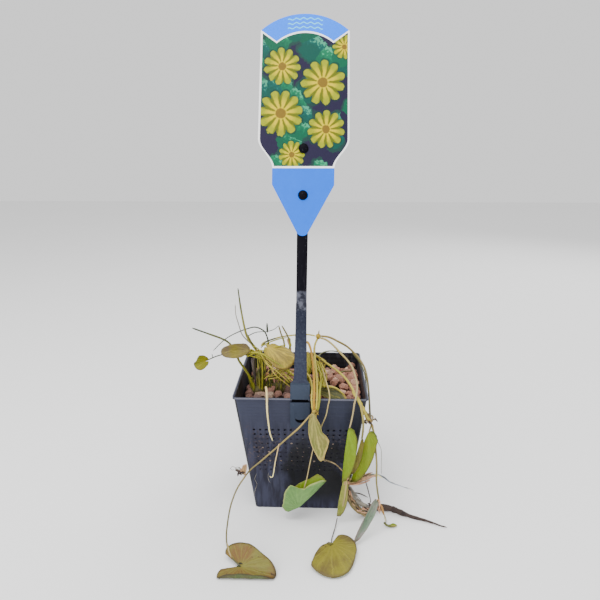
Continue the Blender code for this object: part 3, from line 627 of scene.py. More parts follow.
groove.data.bevel_resolution = 2
groove.data.use_fill_caps = True
only(groove)
bpy.ops.object.convert(target="MESH")
only(plate)
carve = plate.modifiers.new("tongue", "BOOLEAN")
carve.operation = "DIFFERENCE"
carve.object = groove
bpy.ops.object.modifier_apply(modifier="tongue")
bpy.data.objects.remove(groove)

shelf = block(*SHELF, stake_stand)
soften(shelf, 0.0004)
leg = block(*LEG, Matrix.Translation(LEG_TOP) @ Matrix.Rotation(WALL_TILT, 4, "X"))
soften(leg, 0.0003)
web = block(*WEB, Matrix.Identity(4))

low, high = STAKE_SECTIONS[0][0], STAKE_SECTIONS[-1][0]
bpy.ops.mesh.primitive_cube_add(size=1.0, location=(0.0, STAKE_THICK / 2, (low + high) / 2),
                                scale=(2.0, STAKE_THICK, high - low))
stake = bpy.context.active_object
bpy.ops.object.transform_apply(location=True, rotation=True, scale=True)
bpy.ops.object.mode_set(mode="EDIT")
for height, _ in STAKE_SECTIONS[1:-1]:
    cut((0.0, 0.0, height), (0.0, 0.0, 1.0))
bpy.ops.object.mode_set(mode="OBJECT")
for vert in stake.data.vertices:
    half = min(STAKE_SECTIONS, key=lambda section: abs(section[0] - vert.co.z))[1]
    vert.co.x = math.copysign(half, vert.co.x)
stake.data.transform(stake_stand)
soften(stake, 0.0004)

studs = []
for height in STUD_HEIGHTS:
    for reach, girth, depth in STUD_DOMES:
        bpy.ops.mesh.primitive_uv_sphere_add(segments=24, ring_count=12, radius=1.0)
        stud = bpy.context.active_object
        squash = Matrix.Diagonal((girth, depth, girth, 1.0))
        edit_whole()
        bpy.ops.mesh.bisect(plane_co=(0, 0, 0), plane_no=(0, 1, 0), use_fill=True, clear_outer=True)
        bpy.ops.object.mode_set(mode="OBJECT")
        stud.data.transform(stake_stand @ Matrix.Translation((0.0, reach, height)) @ squash)
        bpy.ops.object.shade_smooth_by_angle(angle=math.radians(40.0))
        studs.append(stud)
holder = join([stake, plate, shelf, leg, web] + studs)
only(holder)
bpy.ops.object.shade_smooth_by_angle(angle=math.radians(35.0))

holder_finish = Finish("holder_plastic_scuffed", 0.50, 0.05)
holder_x, holder_y, holder_z = holder_finish.parts(holder_finish.place())
scuffs = holder_finish.grain(240.0, 4.0)
dust = holder_finish.grain(640.0, 3.0)
upper = (holder_z + (scuffs - 0.5) * 0.004).over(0.1935, 0.0015)
streak = holder_finish.grain(400.0, 2.0, holder_finish.stretch(holder_finish.place(), (1.0, 1.0, 0.08)))
band = holder_z.over(0.1800, 0.0015) * holder_z.under(0.1945, 0.0015)
plate_depth = ((holder_y - PLATE_FRONT) * math.cos(WALL_TILT) + (holder_z - PLATE_TOP) * math.sin(WALL_TILT)
               + PLATE_THICK)
# Painted shade inside the U groove round the tongue.
groove_shade = (plate_depth.over(0.0003, 0.0003) * plate_depth.under(0.0017, 0.0001) * abs(holder_x).under(0.0068, 0.0001)
        * holder_z.under(0.1062, 0.0002) * holder_z.over(0.0880, 0.0002))
# Painted shadow in the slot under the neck, above the plate.
slot = holder_z.under(0.1102, 0.0002) * holder_z.over(0.1077, 0.0002) * holder_y.over(-0.0571, 0.0003)
holder_finish.colour(holder_finish.coats(
    holder_finish.mix(dust.over(0.36, 0.3), tone(40, 44, 68), tone(58, 64, 88)),
    (holder_z.under(0.150, 0.02), holder_finish.mix(dust.over(0.36, 0.3), tone(60, 64, 92), tone(76, 84, 106))),
    (holder_z.under(0.1226, 0.0008) * 0.8, tone(78, 92, 114)),
    (holder_z.under(0.1085, 0.0005) * 0.7, tone(66, 78, 102)),
    (upper, tone(12, 10, 22)),
    (upper * streak.over(0.58, 0.1) * 0.3, tone(52, 48, 60)),
    (band, tone(52, 54, 70)),
    (band * scuffs.over(0.42, 0.16) * 0.75, tone(136, 138, 152)),
    (dust.over(0.66, 0.05) * 0.3, tone(120, 124, 140)),
    # Groove and slot painted near black as shade.
    (groove_shade.most(slot), tone(2, 2, 6))))
holder_finish.rough(0.48 + dust * 0.2)
holder_finish.bump(scuffs + dust * 0.4, 0.0003, 0.5)
holder.data.materials.append(holder_finish.material)
fit(holder, "holder_moulding", "holder_plastic", "label_holder")


# Label: a thin printed card with an arched head, curved shoulders and a pointed tongue. Its print
# is generic: a sky-blue head band with waves, a sky-blue tongue, green pads and yellow daisies.
CARD_THICK = 0.0008
CARD_GAP = 0.0003
CARD_TIP = 129.8
CARD_TIP_RADIUS = 5.0
CARD_SHOULDER = (181.8, 204.0)
CARD_HALF_LOW = 35.2
CARD_HALF_TOP = 33.6
TONGUE_HALF = 24.0
TONGUE_TOP = 169.0
CARD_CORNER = 284.0
CARD_APEX = 296.4
BAND_CORNER = (21.5, 275.6)
BAND_APEX = 283.1
DAISIES = (((-17.0, 258.0), 14.0, 0.4), ((14.0, 246.0), 17.0, 1.3), ((-18.0, 223.0), 17.5, 2.2),
           ((17.0, 211.0), 14.5, 0.9), ((-9.0, 192.0), 10.5, 0.2), ((30.0, 272.0), 9.0, 1.8))
PETALS = 11


def arc_points(centre, radius, start, end, steps):
    """Points on an arc, from one angle in degrees to another."""
    angles = [math.radians(start + (end - start) * step / steps) for step in range(steps + 1)]
    return [(centre[0] + radius * math.cos(a), centre[1] + radius * math.sin(a)) for a in angles]


head_rise = CARD_APEX - CARD_CORNER
head_radius = (CARD_HALF_TOP ** 2 + head_rise ** 2) / (2 * head_rise)
head_spread = math.degrees(math.asin(CARD_HALF_TOP / head_radius))
card_right = arc_points((0.0, CARD_TIP + CARD_TIP_RADIUS), CARD_TIP_RADIUS, -90.0, -36.0, 8)
card_right.append((TONGUE_HALF, TONGUE_TOP))
for step in range(25):
    share = step / 24
    widening = 0.5 - 0.5 * math.cos(math.pi * share)
    card_right.append((TONGUE_HALF + (CARD_HALF_LOW - TONGUE_HALF) * widening,
                       CARD_SHOULDER[0] + (CARD_SHOULDER[1] - CARD_SHOULDER[0]) * share))
card_right += arc_points((0.0, CARD_APEX - head_radius), head_radius, 90.0 - head_spread, 90.0, 16)
card_outline = card_right + [(-x, z) for x, z in reversed(card_right) if x > 0.01]
bpy.ops.mesh.primitive_circle_add(vertices=len(card_outline), fill_type="NGON")
card = bpy.context.active_object
for vert, (x, z) in zip(card.data.vertices, card_outline):
    vert.co = stake_stand @ Vector((x * 0.001, -CARD_GAP, z * 0.001))
edit_whole()
card_front = stake_stand.to_3x3() @ Vector((0.0, -1.0, 0.0))
bpy.ops.mesh.extrude_region_move(TRANSFORM_OT_translate={"value": card_front * CARD_THICK})
face_outwards()
bpy.ops.object.mode_set(mode="OBJECT")
soften(card, 0.00015, 1)

card_finish = Finish("label_print", 0.40, 0.15)
card_x, card_y, card_z = card_finish.parts(card_finish.place())
up = ((card_z - POT_HEIGHT) * math.cos(STAKE_LEAN) + (card_y - STAKE_FRONT) * math.sin(STAKE_LEAN)) * 1000.0
across = card_x * 1000.0 - up * math.sin(STAKE_ROLL)
side = abs(across)
warp = card_finish.grain(130.0, 3.0)
warp_fine = card_finish.grain(520.0, 4.0)


def pads():
    """Round floating pads in greens and blue-greens, lit from one side, with dark water between."""
    spread = card_finish.node("CombineXYZ", {}, across + (warp - 0.5) * 12.0, up + (warp_fine - 0.5) * 5.0, 0.0)
    near = card_finish.node("TexVoronoi", {}, Vector=spread, Scale=0.062, Randomness=0.95)
    kind, second, _ = card_finish.parts(Tint(card_finish, near.socket.node.outputs["Color"]))
    lit = card_finish.node("VectorMath", {"operation": "SUBTRACT"}, spread,
                           Tint(card_finish, near.socket.node.outputs["Position"]))
    lit_x, lit_z, _ = card_finish.parts(lit)
    lit = (lit_x * 0.5 + lit_z * 0.8) * 0.09 + (warp_fine - 0.5) * 0.9
    return card_finish.coats(
        card_finish.mix(kind, (0.001, 0.105, 0.046), (0.004, 0.165, 0.072)),
        (second.over(0.55, 0.1), (0.004, 0.080, 0.070)),
        (lit.under(0.0, 0.5) * 0.65, (0.002, 0.050, 0.030)),
        (lit.over(0.42, 0.15) * 0.55, (0.075, 0.430, 0.230)),
        (near.over(0.60, 0.06), (0.010, 0.040, 0.034)),
        (kind.under(0.16, 0.02).most(near.over(0.72, 0.05)), (0.014, 0.011, 0.034)))


def daisy(ground, centre, radius, turn):
    """A yellow daisy with blunt petals round a brown button."""
    away_x = across - centre[0] + (warp - 0.5) * 3.0
    away_y = up - centre[1] + (warp_fine - 0.5) * 1.2
    far = (away_x * away_x + away_y * away_y).into("SQRT") / radius
    angle = away_y.math("ARCTAN2", away_y, away_x)
    swell = abs((angle * (PETALS / 2) + turn).into("COSINE"))
    edge = (swell ** 0.45) * 0.34 + 0.66 + (warp_fine - 0.5) * 0.12
    petal = card_finish.coats(
        card_finish.mix((edge - far).under(0.24, 0.30), (0.56, 0.43, 0.0), (0.27, 0.29, 0.004)),
        (swell.under(0.45, 0.35) * far.over(0.2, 0.1) * 0.85, (0.07, 0.09, 0.004)),
        (far.under(0.20, 0.04) * 0.9, (0.13, 0.07, 0.012)))
    return card_finish.coats(ground, ((edge - far).over(-0.08, 0.02) * 0.55, (0.004, 0.025, 0.020)),
                             ((edge - far).over(0.0, 0.03), petal))


print_colour = pads()
for centre, radius, turn in DAISIES:
    print_colour = daisy(print_colour, centre, radius, turn)
taper = up.over(CARD_SHOULDER[0], CARD_SHOULDER[1] - CARD_SHOULDER[0])
widening = 0.5 - (taper * math.pi).into("COSINE") * 0.5
half_wide = (TONGUE_HALF + widening * (CARD_HALF_LOW - TONGUE_HALF)
             - up.over(CARD_SHOULDER[1], CARD_CORNER - CARD_SHOULDER[1]) * (CARD_HALF_LOW - CARD_HALF_TOP))
band_rise = BAND_APEX - BAND_CORNER[1]
band_radius = (BAND_CORNER[0] ** 2 + band_rise ** 2) / (2 * band_rise)
inner_arc = (band_radius ** 2 - side * side).most(0.0).into("SQRT") + (BAND_APEX - band_radius)
slope = (CARD_CORNER - BAND_CORNER[1]) / (CARD_HALF_TOP - BAND_CORNER[0])
band_end = (side - BAND_CORNER[0]) * slope + BAND_CORNER[1]
over_band = up - inner_arc.most(band_end)
ripple = (across * 1.15).into("SINE") * 0.55
wave_rows = (abs((up + side * side * 0.0065 + ripple - 285.0) % 3.2 - 1.6).under(0.30, 0.15)
             * side.under(13.0, 0.3) * up.under(294.2, 0.2) * over_band.over(2.6, 0.3))
band_blue = card_finish.coats(card_finish.mix(warp, (0.001, 0.165, 0.98), (0.003, 0.190, 1.0)),
                              (wave_rows * 0.75, tone(190, 220, 248)))
card_finish.colour(card_finish.coats(
    print_colour,
    ((side - half_wide).over(-1.5, 0.15), tone(226, 238, 250)),
    (over_band.over(-0.7, 0.1), tone(226, 238, 252)),
    (over_band.over(0.7, 0.1), band_blue),
    (up.under(183.2, 0.1), tone(222, 236, 252)),
    (up.under(181.7, 0.1), card_finish.mix(warp, (0.0, 0.118, 0.72), (0.0, 0.138, 0.80)))))
card_finish.bump(warp_fine, 0.0001, 0.2)

card_back_finish = Finish("label_card_plain", 0.45)
fibre = card_back_finish.grain(900.0, 3.0)
card_back_finish.colour(card_back_finish.mix(fibre, tone(200, 206, 214), tone(216, 220, 226)))
card_back_finish.bump(fibre, 0.0001, 0.3)
card.data.materials.append(card_finish.material)
card.data.materials.append(card_back_finish.material)
for face in card.data.polygons:
    face.material_index = 0 if face.normal.dot(card_front) > 0.5 else 1
fit(card, "label_printed_card", "label_card", "label")


# Stems, runners and roots: round living strands that thin towards their tips and are never quite
# even. Each is a curve with a round section, made a mesh, and its route follows the solid's.
STRAND_STEP = 0.0022
HALF_MM = 0.0005


def through(route):
    """Evenly spaced points, in metres, on one smooth curve through a route in millimetres."""
    knots = [Vector(point) * 0.001 for point in route]
    knots = [2 * knots[0] - knots[1]] + knots + [2 * knots[-1] - knots[-2]]
    points = [knots[1]]
    for before, start, end, after in zip(knots, knots[1:], knots[2:], knots[3:]):
        steps = max(1, round((end - start).length / STRAND_STEP))
        for step in range(1, steps + 1):
            t = step / steps
            points.append(0.5 * (2 * start + (end - before) * t
                                 + (2 * before - 5 * start + 4 * end - after) * t ** 2
                                 + (3 * start - before - 3 * end + after) * t ** 3))
    return points


def grow(strands, unevenness=0.10, sides=2):
    """Strands of (thickness at the foot, at the tip, route in mm), grown into one mesh piece."""
    bpy.ops.curve.primitive_nurbs_path_add()
    piece = bpy.context.active_object
    line = piece.data
    line.splines.clear()
    line.bevel_depth = HALF_MM
    line.bevel_resolution = sides
    line.use_fill_caps = True
    shares = []
    for foot, tip, route in strands:
        points = through(route)
        strand = line.splines.new("POLY")
        strand.points.add(len(points) - 1)
        for index, (point, place) in enumerate(zip(strand.points, points)):
            share = index / (len(points) - 1)
            swell = 1.0 + unevenness * noise.noise(place * 150.0 + Vector((foot, tip, 0.0)))
            end = min(1.0, 0.55 + 0.45 * index, 0.45 + 0.55 * (len(points) - 1 - index))
            point.co = (*place, 1.0)
            point.radius = (foot + (tip - foot) * share) * swell * end
            shares.append(share)
    only(piece)
    bpy.ops.object.convert(target="MESH")
    piece = bpy.context.active_object
    around = len(piece.data.vertices) // len(shares)
    along = piece.data.attributes.new("along", "FLOAT", "POINT")
    for index, item in enumerate(along.data):
        item.value = shares[min(index // around, len(shares) - 1)]
    bpy.ops.object.shade_smooth()
    return piece


def strand_finish(name, foot, tip, spots, spot_share, roughness=0.5):
    """Plant skin from the screen colours of its foot, tip and spots, with fine darker streaks."""
    finish = Finish(name, roughness)
    foot = tone(*foot)
    patches = finish.grain(70.0, 3.0)
    fine = finish.grain(1300.0, 3.0)
    finish.colour(finish.coats(
        finish.mix((finish.attribute("along") + (patches - 0.5) * 0.9).over(0.0, 1.0), foot, tone(*tip)),
        (fine.over(0.45, 0.3) * 0.25, tuple(0.55 * value for value in foot)),
        ((finish.grain(230.0, 4.0) - 1.0 + spot_share).over(0.0, 0.08) * 0.8, tone(*spots))))
    finish.bump(fine + patches * 0.5, 0.0002, 0.5)
    return finish.material


stem_green = strand_finish("stem_green_skin", (120, 118, 58), (134, 140, 72), (104, 86, 52), 0.38)
stem_pale = strand_finish("stem_pale_skin", (196, 186, 142), (190, 178, 146), (160, 140, 104), 0.36)
stem_dark = strand_finish("stem_dark_skin", (60, 72, 42), (80, 92, 54), (48, 44, 34), 0.42)
stem_reaching = strand_finish("stem_reaching_skin", (176, 172, 72), (56, 74, 46), (104, 106, 52), 0.40)
stem_rising = strand_finish("stem_rising_skin", (190, 184, 104), (84, 98, 50), (110, 104, 60), 0.40)
stem_fresh = strand_finish("stem_fresh_skin", (192, 186, 92), (172, 172, 80), (150, 136, 66), 0.36)
stem_yellow = strand_finish("stem_straw_skin", (196, 186, 110), (198, 190, 120), (168, 140, 80), 0.36)
stem_olive = strand_finish("stem_olive_skin", (190, 180, 124), (150, 142, 82), (134, 112, 66), 0.38)
stem_tan = strand_finish("stem_tan_skin", (198, 164, 112), (190, 158, 104), (150, 112, 76), 0.38)
stem_amber = strand_finish("stem_amber_skin", (200, 174, 92), (198, 164, 84), (160, 128, 68), 0.38)
stem_mud = strand_finish("stem_mud_skin", (120, 108, 50), (146, 142, 66), (84, 68, 42), 0.40, 0.6)
stem_plum = strand_finish("stem_plum_skin", (112, 94, 96), (126, 108, 84), (70, 54, 58), 0.42, 0.6)
root_pale = strand_finish("root_pale_skin", (198, 166, 138), (226, 216, 192), (156, 120, 96), 0.34)
root_dark = strand_finish("root_dark_skin", (72, 54, 48), (98, 76, 66), (40, 30, 30), 0.42, 0.75)
root_grey = strand_finish("root_grey_skin", (148, 144, 138), (178, 174, 164), (112, 100, 90), 0.42, 0.7)
root_blue = strand_finish("root_blue_grey_skin", (108, 118, 124), (182, 186, 192), (88, 88, 88), 0.42, 0.7)
root_moss = strand_finish("root_moss_skin", (158, 142, 102), (182, 164, 128), (92, 76, 52), 0.42, 0.75)
stem_trailing = strand_finish("stem_trailing_skin", (186, 172, 116), (118, 118, 74), (126, 104, 66), 0.38)
root_rust = strand_finish("root_rust_skin", (196, 170, 152), (216, 198, 180), (136, 108, 90), 0.40, 0.65)

STEMS = (
    ("stem_tuft_outer", stem_plum, "stem_green", 2.5, 1.8, (
        (-39, -9, 98), (-41.5, -9, 114), (-42, -9, 124), (-40, -9, 130))),
    ("stem_tuft_middle", stem_olive, "stem_green", 2.3, 1.6, (
        (-37, -5, 98), (-36, -5.5, 114), (-37, -7, 130))),
    ("stem_tuft_inner", stem_green, "stem_green", 2.2, 1.5, (
        (-34.5, -9, 98), (-32.8, -10.5, 117), (-34.2, -9.5, 130))),
    ("stem_tall", stem_rising, "stem_green", 2.6, 1.2, (
        (-39, -8, 133.5), (-43, -7, 139), (-46, -6, 142.5), (-48.5, -5, 148), (-50.5, -4, 156.5),
        (-53, -3, 171.5), (-55, -2, 188))),
    ("stem_thin", root_grey, "stem_green", 1.2, 0.7, (
        (-41, -3, 136), (-47, 0, 139), (-53, 2, 145), (-56, 2, 155), (-58, 1, 164), (-58, 0, 173))),
    ("stem_low_left", stem_reaching, "stem_green", 2.5, 1.3, (
        (-41.5, -12, 98), (-45, -14, 111), (-49, -15, 119), (-54, -16, 127.5), (-57.5, -16, 137),
        (-62.5, -15.5, 143.5), (-69, -15, 147), (-80, -13.5, 150.5), (-94, -12, 155))),
    ("stem_arch", stem_dark, "stem_green", 1.9, 0.7, (
        (-28, -3, 98), (-29, 0, 117), (-29.5, 3, 134), (-32, 4, 145), (-36, 5, 149), (-42, 5, 151),
        (-50, 5, 149), (-60, 4, 145), (-69, 1, 140), (-78, -5, 132))),
    ("stem_far_leaf", stem_dark, "stem_yellow", 1.2, 1.0, (
        (-42, -5, 132), (-52, -8, 133.5), (-64, -10.5, 132), (-74, -12, 129.5), (-79, -11.8, 127.2),
        (-83, -12.9, 125.6))),
    ("stem_runner", stem_yellow, "stem_yellow", 1.5, 1.3, (
        (-35.5, -5, 137), (-35, 5, 136), (-31, 12, 136), (-20, 14, 139), (-7, 14, 141), (4, 13, 142),
        (12, 11, 141.3))),
    ("stem_mid_outer", stem_olive, "stem_green", 1.8, 1.4, (
        (-22, -2, 98), (-17, 2, 120), (-16, 6, 135), (-19, 8.5, 144), (-21, 9.5, 151))),
    ("stem_mid_inner", stem_olive, "stem_green", 2.0, 1.4, (
        (-14, -4, 98), (-11, 0, 120), (-11, 2, 136), (-13, 3, 144), (-18, 4, 153))),
    ("stem_low_cross", stem_fresh, "stem_yellow", 2.0, 1.6, (
        (-35, -7.5, 131.5), (-25, -12, 124), (-16, -16, 120), (-5, -20, 115), (3, -23.5, 112), (11, -26, 110))),
    ("stem_dry", stem_tan, "stem_yellow", 1.9, 1.5, (
        (-36, 12, 105), (-27, 7, 105), (-19, 5, 105.5), (-8, 3, 106.5))),
    ("stem_bundle_back", stem_yellow, "stem_yellow", 1.9, 1.7, (
        (13.4, 9, 139.5), (11, -4, 136), (11.5, -20, 131), (13, -40, 124.5), (13.5, -54, 117.5), (13.5, -60, 111.5),
        (12.8, -62.2, 104))),
    ("stem_bundle_arch", stem_amber, "stem_yellow", 2.2, 1.7, (
        (1, -3, 98), (0, 0, 117), (1, -2, 133), (4.5, -8, 142), (8, -20, 139.5), (10.5, -41, 129.5),
        (11.4, -56, 119), (11.3, -61.2, 112.5), (11.3, -62.6, 104))),
    ("stem_bundle_left", stem_yellow, "stem_yellow", 1.8, 1.6, (
        (-1, -8, 98), (1, -20, 115.5), (6, -33, 122), (9, -46, 120.5), (9.6, -54, 117), (9.4, -59.5, 112.5),
        (10.2, -62, 103.5))),
    ("stem_bundle_right", stem_fresh, "stem_green", 2.0, 1.8, (
        (18, -5, 98), (17.6, -17, 114), (16.8, -36, 118.5), (15.7, -54, 116.4), (15.5, -59.6, 111.5),
        (14.2, -62, 103))),
    ("stem_long_left", stem_trailing, "stem_yellow", 1.4, 1.2, (
        (11, -62.4, 102), (8.6, -62.6, 99.8), (4.5, -63.5, 95.2), (-1, -66.5, 90), (-10, -68, 82), (-19, -70, 74),
        (-31, -71, 63), (-39, -72, 56), (-45, -73, 48), (-50, -75, 40), (-54, -78, 30), (-56, -82, 21),
        (-57, -87, 12), (-56.8, -91, 8.5), (-55.6, -97, 6.5), (-53.6, -103, 5.6), (-50.5, -109, 4.6),
        (-46.5, -114, 3.9), (-43, -116.6, 3.4))),
    ("stem_leaf_folded", stem_pale, "stem_yellow", 1.1, 0.9, (
        (17, 5, 98), (16, -8, 116), (18, -24, 123), (21, -46, 121), (23, -55, 117), (23.6, -58.4, 112.5),
        (22.5, -59, 107), (21, -58.5, 98), (17.5, -57.5, 88), (13.5, -57, 76), (10.4, -57, 65), (8, -57.5, 53),
        (6, -58.5, 42), (3.2, -60, 31), (0.8, -60, 20), (-0.6, -60, 15))),
    ("stem_right_back", stem_trailing, "stem_green", 1.9, 1.8, (
        (15.6, 10, 141.8), (24, 12, 140), (31, 14, 136), (40, 17, 130), (46, 19, 124), (52, 16, 118),
        (56.2, 8, 112.6), (57.6, -6, 108.5), (57.8, -21, 103), (57.5, -33, 99), (57.1, -43, 95.5), (57, -51, 92.4),
        (56.8, -54.4, 92.0))),
    ("stem_right_mid", stem_pale, "stem_yellow", 1.9, 1.2, (
        (15.4, 8.4, 140.6), (21, 5, 140), (27, 0, 137), (33, -8, 133), (39, -16, 129), (43, -24, 125.5),
        (45, -34, 121.5), (46, -45, 118.5), (45.3, -54, 117), (44.4, -60, 115), (43, -62.5, 110), (42, -63, 102),
        (40.2, -64.6, 93), (38.9, -66.8, 89.4))),
    ("stem_right_front", stem_yellow, "stem_yellow", 1.5, 2.2, (
        (6, 4, 98), (7, 2, 116), (12, -3, 127), (23, -14, 124), (30, -22, 122), (37, -32, 119), (42, -44, 115.5),
        (43.9, -51, 113.4), (46, -57, 111.6), (49, -60, 106.4), (52.6, -58.8, 98.8), (56.4, -55.6, 92.0))),
    ("stem_sliver", stem_olive, "stem_green", 2.1, 1.7, (
        (47.8, -58.6, 110.2), (48.6, -61.4, 105.4), (50, -63, 98), (50.4, -63, 89), (49.6, -62, 78.6))),
    ("stem_down_right", stem_olive, "stem_yellow", 1.7, 1.4, (
        (57, -54, 88.4), (58.5, -52.6, 85.6), (61, -53, 76), (62, -54, 65), (63, -56, 53), (63, -58, 40),
        (64, -60, 31), (65.6, -61, 22))),
    ("stem_tiny_leaf", stem_yellow, "stem_yellow", 0.9, 0.7, (
        (65.6, -61, 23), (66.5, -60.5, 20), (69, -60.5, 14), (71, -60, 6), (71.5, -61, 2.2))),
    ("stem_floor_right", root_dark, "root_brown", 0.8, 0.7, (
        (31.4, -59.5, 5.0), (29.5, -67, 1.4), (27.5, -76, 1.2), (26.3, -82, 1.3), (25.9, -91, 3.6))),
    ("stem_low_right", stem_olive, "stem_yellow", 1.8, 1.3, (
        (38.6, -55.6, 40), (38.2, -55.6, 27), (41, -54, 17), (45, -52, 9), (50, -51, 4), (56.6, -50.2, 1.6))),
    ("root_over_rim", root_pale, "root_pale", 2.3, 0.9, (
        (-28.5, -32, 104), (-28.5, -39, 111), (-28, -46.5, 116), (-26.8, -54, 116), (-26.2, -58.3, 112),
        (-26, -60, 102), (-25.2, -60, 92), (-24, -60, 82), (-22, -59, 75))),
    ("root_side", root_pale, "root_pale", 0.9, 0.7, (
        (-16.0, -71.1, 79), (-17.5, -71.1, 71.2), (-19.3, -70.6, 62), (-20.6, -70, 53), (-21.6, -69.6, 48.6),
        (-23.2, -69.5, 48.0), (-23.8, -69.5, 49.4))),
    ("root_right", root_blue, "root_pale", 2.6, 0.4, (
        (43, -53, 36), (51, -52, 38), (55, -51, 40), (62, -50, 40), (69, -49, 38), (76, -48, 32), (85, -47, 28),
        (92, -47, 25))),
)
for name, skin, slot, foot, tip, route in STEMS:
    stem = grow([(foot, tip, route)])
    stem.data.materials.append(skin)
    fit(stem, name + "_strand", slot, name)


# Joints: the swollen knuckles where runners meet, each a lump wrapped in short papery sheaths.
SHEATH_THICK = (1.9, 0.5)
SHEATH_START = 0.25
SHEATH_BOW = Vector((0.0, -0.5, 0.5))
joint_finish = strand_finish("joint_sheath", (198, 180, 104), (176, 152, 88), (104, 80, 46), 0.46, 0.7)
dried_joint = strand_finish("joint_sheath_dried", (196, 176, 130), (172, 150, 104), (78, 58, 36), 0.52, 0.8)
JOINTS = (
    ("joint_left", (-37.5, -8.0, 132.6), (3.0, 2.4, 2.0), (
        (-41, -8, 135), (-34, -7.5, 134), (-36, -10.5, 131), (-40, -6, 134), (-37.5, -9, 136))),
    ("joint_top", (14.3, 10.0, 141.2), (2.2, 1.9, 2.5), (
        (15.1, 10, 147.4), (12.9, 8, 136.2), (16.6, 10, 143), (12.5, 11, 143))),
    ("joint_front", (12.2, -62.2, 102.4), (2.6, 1.8, 2.2), (
        (11.6, -63.4, 98.4), (13.4, -63.2, 98.2), (15, -62.8, 100), (9.2, -62.8, 102))),
    ("joint_right", (56.2, -55.2, 92.0), (2.0, 1.7, 2.6), (
        (53.6, -56, 98.6), (51.8, -56.2, 92.2), (53.4, -56.6, 90.6), (56.0, -56.8, 89.6), (61.2, -55.4, 93.4),
        (59.6, -54.6, 85.4), (55.8, -56.2, 97.6))),
)
for name, middle, sizes, tips in JOINTS:
    bpy.ops.mesh.primitive_uv_sphere_add(segments=20, ring_count=12, radius=1.0)
    knuckle = bpy.context.active_object
    for vert in knuckle.data.vertices:
        ripple = 1.0 + 0.16 * noise.noise(vert.co * 2.6) + 0.05 * math.sin(9.0 * math.atan2(vert.co.y, vert.co.x))
        vert.co = Vector([m + s * v * ripple for m, s, v in zip(middle, sizes, vert.co)]) * 0.001
    knuckle.data.attributes.new("along", "FLOAT", "POINT")
    bpy.ops.object.shade_smooth()
    sheaths = []
    for tip in tips:
        start = Vector(middle) + (Vector(tip) - Vector(middle)) * SHEATH_START
        half_way = (start + Vector(tip)) / 2 + SHEATH_BOW
        sheaths.append((*SHEATH_THICK, (start, half_way, tip)))
    knuckle = join([knuckle, grow(sheaths, 0.3)])
    knuckle.data.materials.append(dried_joint if name == "joint_right" else joint_finish)
    fit(knuckle, name + "_knuckle", "stem_yellow", name)


# Crowns: the old growing points in the gravel, a low mound of leaf bases with short stubs and
# young blades standing up from it.
MOUND_LEVEL = 97.0
MOUND_RISE = 4.6
MOUND_SHARE = 0.92
STUB_FOOT = 98.0
crown_finish = strand_finish("crown_leaf_base", (118, 108, 56), (176, 178, 80), (80, 62, 38), 0.42, 0.7)
CROWNS = (
    ("crown_left", (-38.8, -8.0), (7.2, 7.0), 9, 14.0),
    ("crown_middle", (-19.5, -3.0), (11.0, 6.5), 17, 14.0),
    ("crown_right", (9.0, -1.0), (14.0, 11.0), 16, 12.0),
)
for name, (crown_x, crown_y), (half_x, half_y), count, tallest in CROWNS:
    bpy.ops.mesh.primitive_uv_sphere_add(segments=28, ring_count=14, radius=1.0)
    mound = bpy.context.active_object
    for vert in mound.data.vertices:
        ripple = 1.0 + 0.22 * noise.noise(vert.co * 3.4)
        vert.co = Vector((crown_x + half_x * MOUND_SHARE * vert.co.x * ripple,
                          crown_y + half_y * MOUND_SHARE * vert.co.y * ripple,
                          MOUND_LEVEL + MOUND_RISE * vert.co.z * ripple)) * 0.001
    mound.data.attributes.new("along", "FLOAT", "POINT")
    bpy.ops.object.shade_smooth()
    stubs = []
    for _ in range(count):
        angle = chance.uniform(0.0, 2.0 * math.pi)
        out = math.sqrt(chance.uniform(0.02, 0.95))
        foot = Vector((crown_x + half_x * out * math.cos(angle), crown_y + half_y * out * math.sin(angle),
                       STUB_FOOT))
        lean = Vector((math.cos(angle) * 0.30 * out, math.sin(angle) * 0.30 * out, 1.0))
        height = tallest * chance.uniform(0.35, 1.0)
        bow = Vector((chance.uniform(-1.2, 1.2), chance.uniform(-1.2, 1.2), 0.0))
        stubs.append((chance.uniform(1.5, 2.6), chance.uniform(0.5, 1.2),
                      (foot, foot + lean * height * 0.5 + bow, foot + lean * height)))
    mound = join([mound, grow(stubs, 0.25)])
    mound.data.materials.append(crown_finish)
    fit(mound, name + "_bases", "crown_brown", name)


# Leaves: thin heart-shaped blades, each folded or curled along its midrib as it dried. Every blade
# starts as a flat grid that is rolled into a fan of spokes round its stalk, then folded and bent.
SINUS = math.radians(158.0)
LOBE_START = 0.8
LOBE_ROUNDING = 0.3
SPOKES = 30
RINGS = 14
BLADE_THICK = 0.00035
TURN_RADIUS = 1.2
SPOT_BROWN = (96, 66, 40)


def blade_edge(angle, ahead, behind, half_width):
    """Distance from the stalk to the blade's edge: an ellipse with its back lobes rounded."""
    middle = (ahead - behind) / 2
    long_half = (ahead + behind) / 2
    a = (math.cos(angle) / long_half) ** 2 + (math.sin(angle) / half_width) ** 2
    b = -2 * math.cos(angle) * middle / long_half ** 2
    c = (middle / long_half) ** 2 - 1.0
    reach = (-b + math.sqrt(b * b - 4 * a * c)) / (2 * a)
    turn = max(0.0, (angle / SINUS - LOBE_START) / (1.0 - LOBE_START))
    return reach * (1.0 - LOBE_ROUNDING * turn * turn)


def fold_across(away, half_width, fold, curl):
    """Across the midrib: how far a point goes sideways and up when its half is folded."""
    if abs(curl) < 0.01:
        return away * math.cos(fold), away * math.sin(fold)
    radius = half_width / curl
    end = fold + away / radius
    return radius * (math.sin(end) - math.sin(fold)), radius * (math.cos(fold) - math.cos(end))


